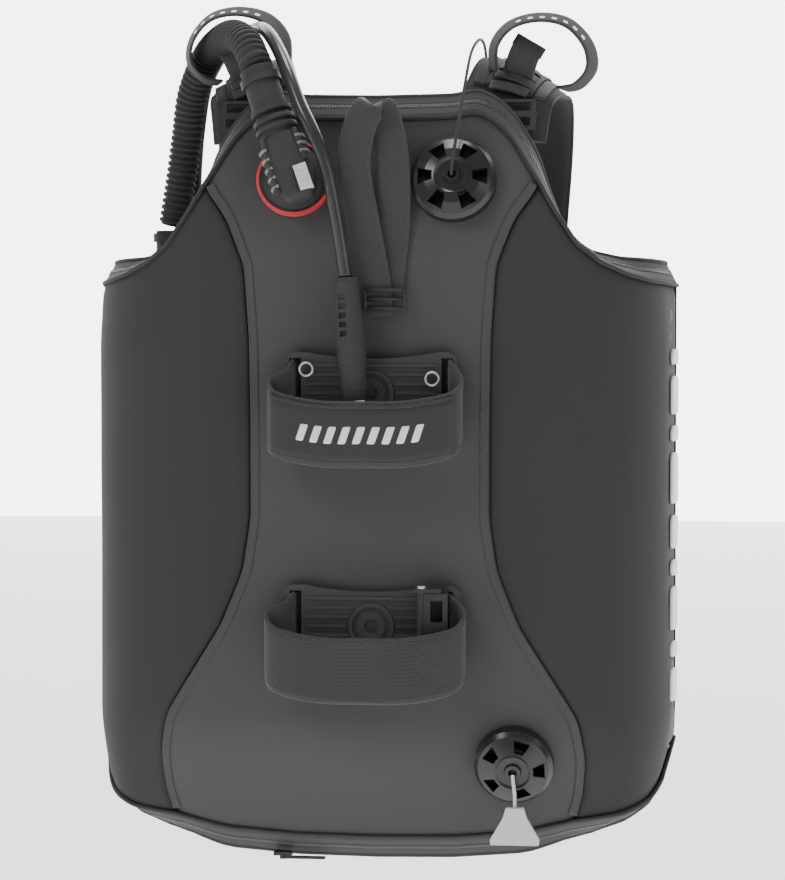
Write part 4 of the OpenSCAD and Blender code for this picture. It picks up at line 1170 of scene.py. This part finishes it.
@dataclass
class Harness:
    """Shoulder straps, webbing, loops, pads and waist flaps. Sizes in millimetres."""

    strap_route: tuple = ((95, -10, 262), (99, -2, 290), (104, 14, 305), (108, 38, 311),
                          (110, 64, 305), (110, 84, 283), (108, 94, 245), (104, 98, 195),
                          (102, 100, 150))
    strap_across: tuple = ((1, 0, 0), (1, 0, -0.1), (0.93, 0, -0.35), (0.9, 0, -0.43),
                           (0.9, 0.1, -0.42), (0.97, 0.1, -0.2), (1, 0, 0), (1, 0, 0), (1, 0, 0))
    crest: int = 30
    strap_w: float = 68.0
    strap_t: float = 9.0
    webbing_w: float = 38.0
    loop_route: tuple = ((76, 0, 318), (77, -2, 338), (90, -4, 353), (112, -4, 358.5),
                         (134, -2, 354), (149, 1, 338), (152, 4, 320), (142, 7, 307), (129, 12, 304))
    grab_route: tuple = ((6, -80, 124), (5, -80, 150), (-3, -83, 195), (-10, -84, 238),
                         (-5, -86, 268), (2, -85, 281), (7, -82, 283), (12, -78, 275),
                         (19, -77, 240), (19, -76, 190), (15, -76, 155), (13, -76, 126))
    wing_route: tuple = ((94, -10), (125, -5), (152, 8), (170, 30), (177, 60), (170, 95),
                         (148, 125), (112, 143), (66, 150))
    wing_z: float = -125.0
    wing_h: float = 112.0

    def strap_line(self, lift: float) -> Line:
        """The right strap's line, moved outward."""
        path = smooth_route(metres(self.strap_route), 10)
        across = smooth_route([Vector(a) for a in self.strap_across], 10)
        line = Line(path, across)
        lift *= line.faces(self.crest, UP) * MM
        return Line([line.at(i, 0, lift) for i in range(len(path))], line.across)

    @staticmethod
    def pillow_section(width: float, thick: float, steps: int = 14) -> list[tuple[float, float]]:
        """Outline of a padded strap: crowned faces that pinch in at a sewn edge."""
        half = width / 2
        out = []
        for sign in (1, -1):
            for k in range(steps + 1):
                a = -half + width * k / steps
                share = min(1.0, (half - abs(a)) / (0.13 * width))
                b = thick / 2 * (0.28 + 0.72 * math.sin(share * math.pi / 2) ** 0.8)
                out.append((a * sign, b * sign))
        return out

    def straps(self) -> None:
        """Padded straps with bound edges, webbing and sewn rows."""
        for name, turn in (("right", lambda x: x), ("left", mirrored)):
            line = turn(self.strap_line(0.0))
            outline = self.pillow_section(self.strap_w * MM, self.strap_t * MM)
            piece = sweep(f"shoulder_pad_{name}", line, lambda i, run: outline, Finish.PAD_FABRIC)
            settle(piece, "pad_fabric", "shoulder_straps")
            for k, side in enumerate((-1, 1)):
                edge = [line.at(i, side * (self.strap_w / 2 - 0.6) * MM, 0) for i in range(len(line.path))]
                settle(pipe(f"strap_binding_{name}_{k}", edge, 1.9 * MM, Finish.BINDING, 10), "binding")
            lift = line.faces(self.crest, UP) * (self.strap_t / 2 - 0.1) * MM
            for k, side in enumerate((-25.0, 25.0)):
                settle(stitches(f"strap_thread_{name}_{k}", [line], side * MM, 3.2 * MM, lift), "binding")
            over = turn(self.strap_line(self.strap_t / 2 + 2.9))
            over = over.part(12, len(over.path))
            sew(f"shoulder_webbing_{name}", over, self.webbing_w, 2.1, Finish.STRAP_WEBBING, "webbing",
                "shoulder_webbing")
            self.ladder(name, over)

    @staticmethod
    def ladder(name: str, over: Line) -> None:
        """Bars of narrow webbing sewn over the strap's back, and the tongue above them."""
        sign, hand = over.faces(20, UP), 1 if over.path[0].x > 0 else -1
        ahead = headings(over.path)

        def narrow(kind: str, line: Line, width: float, thick: float, slot: str,
                   finish: Finish = Finish.NARROW_WEBBING) -> None:
            """One short run of webbing."""
            sew(f"strap_{kind}", line, width, thick, finish, slot)

        for k, i in enumerate((0, 4, 8, 13)):
            path = [over.at(i, a * 15 * MM, sign * (1.4 + 2.6 * (1 - a * a)) * MM)
                    for a in (-1, -0.85, -0.5, 0, 0.5, 0.85, 1)]
            narrow(f"bar_{name}_{k}", Line(path, [ahead[i]] * len(path)), 8.5, 1.8, "binding")
        for k, x in enumerate((-24, 24)):
            side = Line([over.at(i, hand * x * MM, sign * -1.6 * MM) for i in range(26)],
                        over.across[:26])
            narrow(f"edge_{name}_{k}", side, 10, 1.2, "webbing")
        rise = smooth_route(metres([(hand * x, y, z) for x, y, z in (
            (106, 8, 309), (109, -1, 317), (113, -4, 327), (118, -1, 336))]), 6)
        tongue = Line(rise, [Vector((0.93, 0.1 * hand, -0.32 * hand))] * len(rise))
        narrow(f"tongue_{name}", tongue, 24, 2.2, "webbing")
        tip = Line([tongue.at(i, 0, 0) for i in range(len(rise) - 6, len(rise))], tongue.across[-6:])
        narrow(f"tongue_tip_{name}", tip, 25.5, 3.6, "webbing", Finish.BLACK_PLASTIC)

    def loops(self) -> None:
        """Hose loops over both shoulders with a printed row of pale dashes."""
        base = smooth_route(metres(self.loop_route), 10)
        middle, lean_at_rim, reach = Vector((116, 0, 318)) * MM, 0.4, 0.042
        lean = [Vector((0, 1, 0)) + (p - middle) * Vector((1, 0, 1)) * (lean_at_rim / reach)
                for p in base]
        right = Line([p + Vector((12, 0, -4)) * MM for p in base], lean)
        left = mirrored(Line([p + Vector((0, 0, 3)) * MM for p in base], lean))
        for name, line in (("right", right), ("left", left)):
            piece = sew(f"hose_loop_{name}", line, 22, 1.9, Finish.BINDING, "binding", "hose_loops")
            line.lengths()[-1]
            sign = line.faces(self.crest, UP)
            for k in range(7):
                i = 22 + k * 4
                ends = [line.at(j, a * MM, sign * 1.25 * MM) for j in (i, i + 2) for a in (-6.5, -1.0)]

                def on_band(x: float, y: float, up: float, ends: list = ends,
                            lift: Vector = line.out[i] * sign) -> Vector:
                    """Point of a dash."""
                    low, high = ends[0].lerp(ends[2], x), ends[1].lerp(ends[3], x)
                    return low.lerp(high, y) + lift * up
                dash = patch(f"loop_dash_{name}_{k}", rounded_box(0.5, 0.5, 0.9, 0.95, 0.28), on_band,
                             0.12 * MM)
                settle(dash, "binding")

    def grab(self) -> None:
        """Folded strap down the middle of the back, sewn to it at its foot."""
        path = even_route(smooth_route(metres(self.grab_route), 10), 2.5 * MM)
        line = Line(path, [Vector((1, 0, 0))] * len(path))
        loop = settle(webbing("grab_strap_webbing", line, 25 * MM, 1.7 * MM, Finish.NARROW_WEBBING,
                              0.5 * MM), "webbing", "grab_strap")
        line.lengths()[-1]
        foot = Line(metres(((-8, -78.2, 127), (2, -79, 128), (20, -78, 130), (27, -75, 131))),
                    [Vector((0, 0, 1))] * 4)
        sew("grab_strap_bar", foot, 10, 1.6, Finish.NARROW_WEBBING, "webbing")
        self.slider("grab_slider", Vector((13.5, -82.5, 137)) * MM, 30 * MM, 14 * MM)

    def slider(self, name: str, where: Vector, width: float, height: float) -> None:
        """A three-bar slider lying flat against the back."""
        mesh = bmesh.new()

        def bar(a: Point, b: Point, r: float) -> None:
            """One round bar between two places about the middle."""
            a, b = where + Vector(a), where + Vector(b)
            line = rolling_line([a, a.lerp(b, 0.5), b], Vector((0.3, 1, 0.2)))
            turns = [k * math.pi / 4 for k in range(8)]
            skin_rings(mesh, [[line.at(i, r * math.cos(t), r * math.sin(t)) for t in turns]
                              for i in range(3)])

        for z in (-0.5, 0.0, 0.5):
            bar((-width / 2, 0, z * height), (width / 2, 0, z * height), 1.5 * MM)
        for x in (-0.5, 0.5):
            bar((x * width, 0, -height / 2), (x * width, 0, height / 2), 1.6 * MM)
        settle(finish_mesh(name, mesh, Finish.BLACK_PLASTIC), "black_plastic")

    def waist(self) -> None:
        """Padded flaps that close round the waist, with bound edges and sewn channels."""
        path = smooth_route(metres([(x, y, self.wing_z) for x, y in self.wing_route]), 10)
        right = Line(path, [Vector((0, 0, 1))] * len(path))
        for name, line in (("right", right), ("left", mirrored(right))):
            total = line.lengths()[-1]

            def section(i: int, run: float, total: float = total) -> list[tuple[float, float]]:
                """Three padded channels that thin out towards both ends."""
                ends = step(min(run, total - run) / 0.03)
                height = self.wing_h * MM * (0.93 + 0.07 * ends)
                out = []
                for sign in (1, -1):
                    for k in range(37):
                        a = -0.5 + k / 36
                        channel = abs(math.sin(a * 3 * math.pi + math.pi / 2)) ** 0.35
                        edge = min(1.0, (0.5 - abs(a)) * 12)
                        b = 4.4 * MM * (0.3 + 0.7 * channel * edge * (0.4 + 0.6 * ends))
                        out.append((a * height * sign, b * sign))
                return out

            piece = sweep(f"waist_flap_{name}", line, section, Finish.PAD_FABRIC)
            settle(piece, "pad_fabric", "waist_wings")
            for k, side in enumerate((-1, 1)):
                edge = [line.at(i, side * (self.wing_h / 2 - 2) * MM, 0)
                        for i in range(2, len(line.path) - 2)]
                settle(pipe(f"waist_binding_{name}_{k}", edge, 2.1 * MM, Finish.BINDING, 10), "binding")

    def pads(self) -> None:
        """Back and lumbar pads under spacer mesh."""
        rows, cols = 60, 40
        for name, w, low, high in (("back", 95, -75, 225), ("lumbar", 88, -225, -82)):
            def face(i: int, j: int, share: float, w: float = w, low: float = low,
                     tall: float = high - low) -> Vector:
                """Point of the pad, from 0 at its foot to 1 at its crown."""
                u, v = 2 * j / cols - 1, 2 * i / rows - 1
                rim = (1 - abs(u) ** 8) * (1 - abs(v) ** 12)
                channel = 1 - 0.3 * math.exp(-((abs(u) - 0.45) / 0.03) ** 2) \
                    - 0.25 * math.exp(-(((v * tall / 90) % 1 - 0.5) / 0.04) ** 2)
                x = u * w * (1 - 0.06 * v * v) * (0.97 + 0.03 * rim)
                return Vector((x, -21 + share * (2 + 18.6 * rim * channel), low + tall * (v + 1) / 2)) * MM

            piece = quilt(f"{name}_pad_cover", (rows, cols), face, (0.0, 1.0), Finish.MESH_LINING)
            settle(piece, "mesh_lining", "back_pads")

    def build(self) -> None:
        """Makes the whole harness."""
        self.straps()
        self.loops()
        self.grab()
        self.waist()
        self.pads()


# ---- carried-over hardware ----------------------------------------------

@dataclass
class Hardware:
    """The moulded and metal parts' finishes and soft edges, springs, elbow and buckle webbing."""

    soften: float = 0.45 * MM

    def dress(self) -> None:
        """Gives each carried-over part its slot's finish and a small bevel."""
        for entry in frame["record"]["subparts"]:
            node, slot = frame["nodes"][entry["node"]], entry["material_slot"].upper()
            node.data.materials.clear()
            node.data.materials.append(Finish["STRAP_WEBBING" if slot == "WEBBING" else slot].material())
            bevel = node.modifiers.new("soft_edges", "BEVEL")
            bevel.width, bevel.segments, bevel.limit_method = self.soften, 2, "ANGLE"
            bevel.angle_limit = math.radians(35)
            log.info("dressed %s", entry["node"])

    def buckle_webbing(self) -> None:
        """Webbing over the plain straps of the buckle halves."""
        lean = math.radians(7)
        down = Vector((0, math.sin(lean), -math.cos(lean)))
        for name, hand in SIDES:
            top = Vector((hand * 102, 104.5, 130)) * MM
            start, end = (top + down * length * MM for length in (41.5, 201.5))
            self.strap(f"chest_webbing_{name}", start, end, Vector((1, 0, 0)), 38.6,
                       f"chest_insert_{name}")
        for kind, y, z, width, left, right in (("sternum", 109.8, 155, 20.6, (-29, -80.5), (22.4, 92.4)),
                                               ("waist", 160, -125, 38.6, (-28, -107.6), (23.4, 113.4))):
            for name, ends, body in (("left", left, f"{kind}_insert"), ("right", right, "root")):
                start, end = metres([(x, y, z) for x in ends])
                self.strap(f"{kind}_webbing_{name}", start, end, UP, width, body)

    @staticmethod
    def strap(name: str, start: Vector, end: Vector, across: Vector, width: float,
              body: str) -> None:
        """One straight run of webbing."""
        path = [start.lerp(end, k / 24) for k in range(25)]
        sew(name, Line(path, [across] * 25), width, 1.9 if width < 30 else 2.5, Finish.STRAP_WEBBING,
            "webbing", body=body)

    @staticmethod
    def frame_at(place: Point, tilt: float, lean: float = 0.0) -> Matrix:
        """Placement of a valve or port: a tilt about X, then a lean about its own axis."""
        return Matrix.Translation(Vector(place) * MM) @ Matrix.Rotation(math.radians(tilt), 4, "X") \
            @ Matrix.Rotation(math.radians(lean), 4, "Z")

    def springs(self) -> None:
        """Coil springs behind both dump valves' poppets."""
        for name, place, tilt in (("shoulder", (64, -62.5, 226), 74), ("lower", (111, -67, -215), 108)):
            spot = self.frame_at(place, tilt)
            turns, steps, radius, foot, height, wire = 4.5, 150, 8.2, 6.2, 7.1, 0.55
            turn = 2 * math.pi * turns / steps
            path = [spot @ (Vector((radius * math.cos(turn * k), radius * math.sin(turn * k),
                                    foot + height * k / steps)) * MM) for k in range(steps + 1)]
            coil = pipe(f"{name}_coil_spring", path, wire * MM, Finish.STEEL, 8)
            settle(coil, "steel", f"{name}_valve_spring")
            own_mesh(coil)

    def elbow(self) -> None:
        """Rounded elbow body with two collars, the latch's pocket, side rails and their ribs.

        Each row gives the place along the elbow, its half width, its low face and its high face.
        """
        spot = self.frame_at((-58, -62.5, 228), 74, 20)
        rows = [(-28.0, 8, 20, 33), (-27, 10.5, 18, 35.5), (-23, 12.5, 16, 37.5),
                (-17, 15.5, 13, 38.4), (-10, 17.5, 11.8, 38.8), (0, 18, 11.7, 38.8),
                (12, 17.4, 12, 38.4), (20, 15.5, 12.5, 38), (27, 13.6, 13.5, 37.5),
                (31, 13.4, 13.6, 37.2), (31.6, 16.2, 11, 40), (34.6, 16.4, 10.8, 40.3),
                (35.2, 14.0, 13.2, 37.8), (37.6, 14.0, 13.2, 37.8), (38.2, 16.4, 10.8, 40.3),
                (41.8, 16.2, 11, 40), (42.4, 13.3, 13.8, 37.2), (46, 13.2, 13.9, 37.0)]
        fine = []
        for (y0, *a), (y1, *b) in zip(rows, rows[1:]):
            for k in range(4):
                fine.append((y0 + (y1 - y0) * k / 4, [p + (q - p) * step(k / 4) for p, q in zip(a, b)]))
        fine.append((rows[-1][0], list(rows[-1][1:])))
        rings, sides, round_from, squareness = [], 48, 26, 3.6
        for y, (half, low, high) in fine:
            power = 2 / (squareness if y < round_from else 2.0)
            ring = []
            for k in range(sides):
                c, n = math.cos(2 * math.pi * k / sides), math.sin(2 * math.pi * k / sides)
                x = math.copysign(abs(c) ** power, c) * half
                z = math.copysign(abs(n) ** power, n) * (high - low) / 2 + (high + low) / 2
                ring.append(spot @ (Vector((x, y, z)) * MM))
            rings.append(ring)
        mesh = bmesh.new()
        skin_rings(mesh, rings)
        piece = finish_mesh("elbow_shell", mesh, Finish.BLACK_PLASTIC)
        pocket, pocket_at, pocket_size = bmesh.new(), (0.008, -0.0135, 0.0402), (0.0106, 0.0196, 0.0196)
        bmesh.ops.create_cube(pocket, size=1.0, matrix=spot @ Matrix.Translation(pocket_at)
                              @ Matrix.Diagonal((*pocket_size, 1.0)))
        cutter = finish_mesh("latch_pocket", pocket, Finish.BLACK_PLASTIC)
        cut = piece.modifiers.new("pocket", "BOOLEAN")
        cut.object, cut.operation, cut.solver = cutter, "DIFFERENCE", "EXACT"
        bpy.context.view_layer.update()
        ready = piece.evaluated_get(bpy.context.evaluated_depsgraph_get())
        carved = bpy.data.meshes.new_from_object(ready)
        piece.modifiers.clear()
        piece.data = carved
        bpy.data.objects.remove(cutter)
        settle(piece, "black_plastic", "hose_elbow")
        for k, x in enumerate((-13.8, 13.8)):
            start, ribs, top, gap = (-20, 5, 16, 7.5) if k == 0 else (0, 3, 20, 6.5)
            rail = [spot @ (Vector((x * (1 - 0.004 * max(0, y)), y, 37.2 - 0.02 * abs(y))) * MM)
                    for y in range(start, 27, 2)]
            settle(pipe(f"elbow_rail_{k}", rail, 2.1 * MM, Finish.BLACK_PLASTIC, 10), "black_plastic")
            for j in range(ribs):
                rib = [spot @ (Vector((x * side, top - gap * j, z)) * MM) for side, z in
                       ((0.86, 38.6), (1.08, 37.6), (1.26, 34.0), (1.28, 29.0))]
                settle(pipe(f"elbow_rib_{k}_{j}", rib, 1.3 * MM, Finish.GREY_PLASTIC, 8), "black_plastic")

    def build(self) -> None:
        """Dresses the hardware."""
        self.dress()
        self.springs()
        self.elbow()
        self.buckle_webbing()


def main() -> None:
    """Builds the vest's looks in order."""
    logging.basicConfig(level=logging.INFO, format="%(message)s")
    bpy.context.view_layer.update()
    studio = Studio()
    studio.camera()
    Hoses().build()
    Wing().build()
    TankFixings().build()
    Harness().build()
    Hardware().build()
    studio.room()


if __name__ == "__main__":
    main()
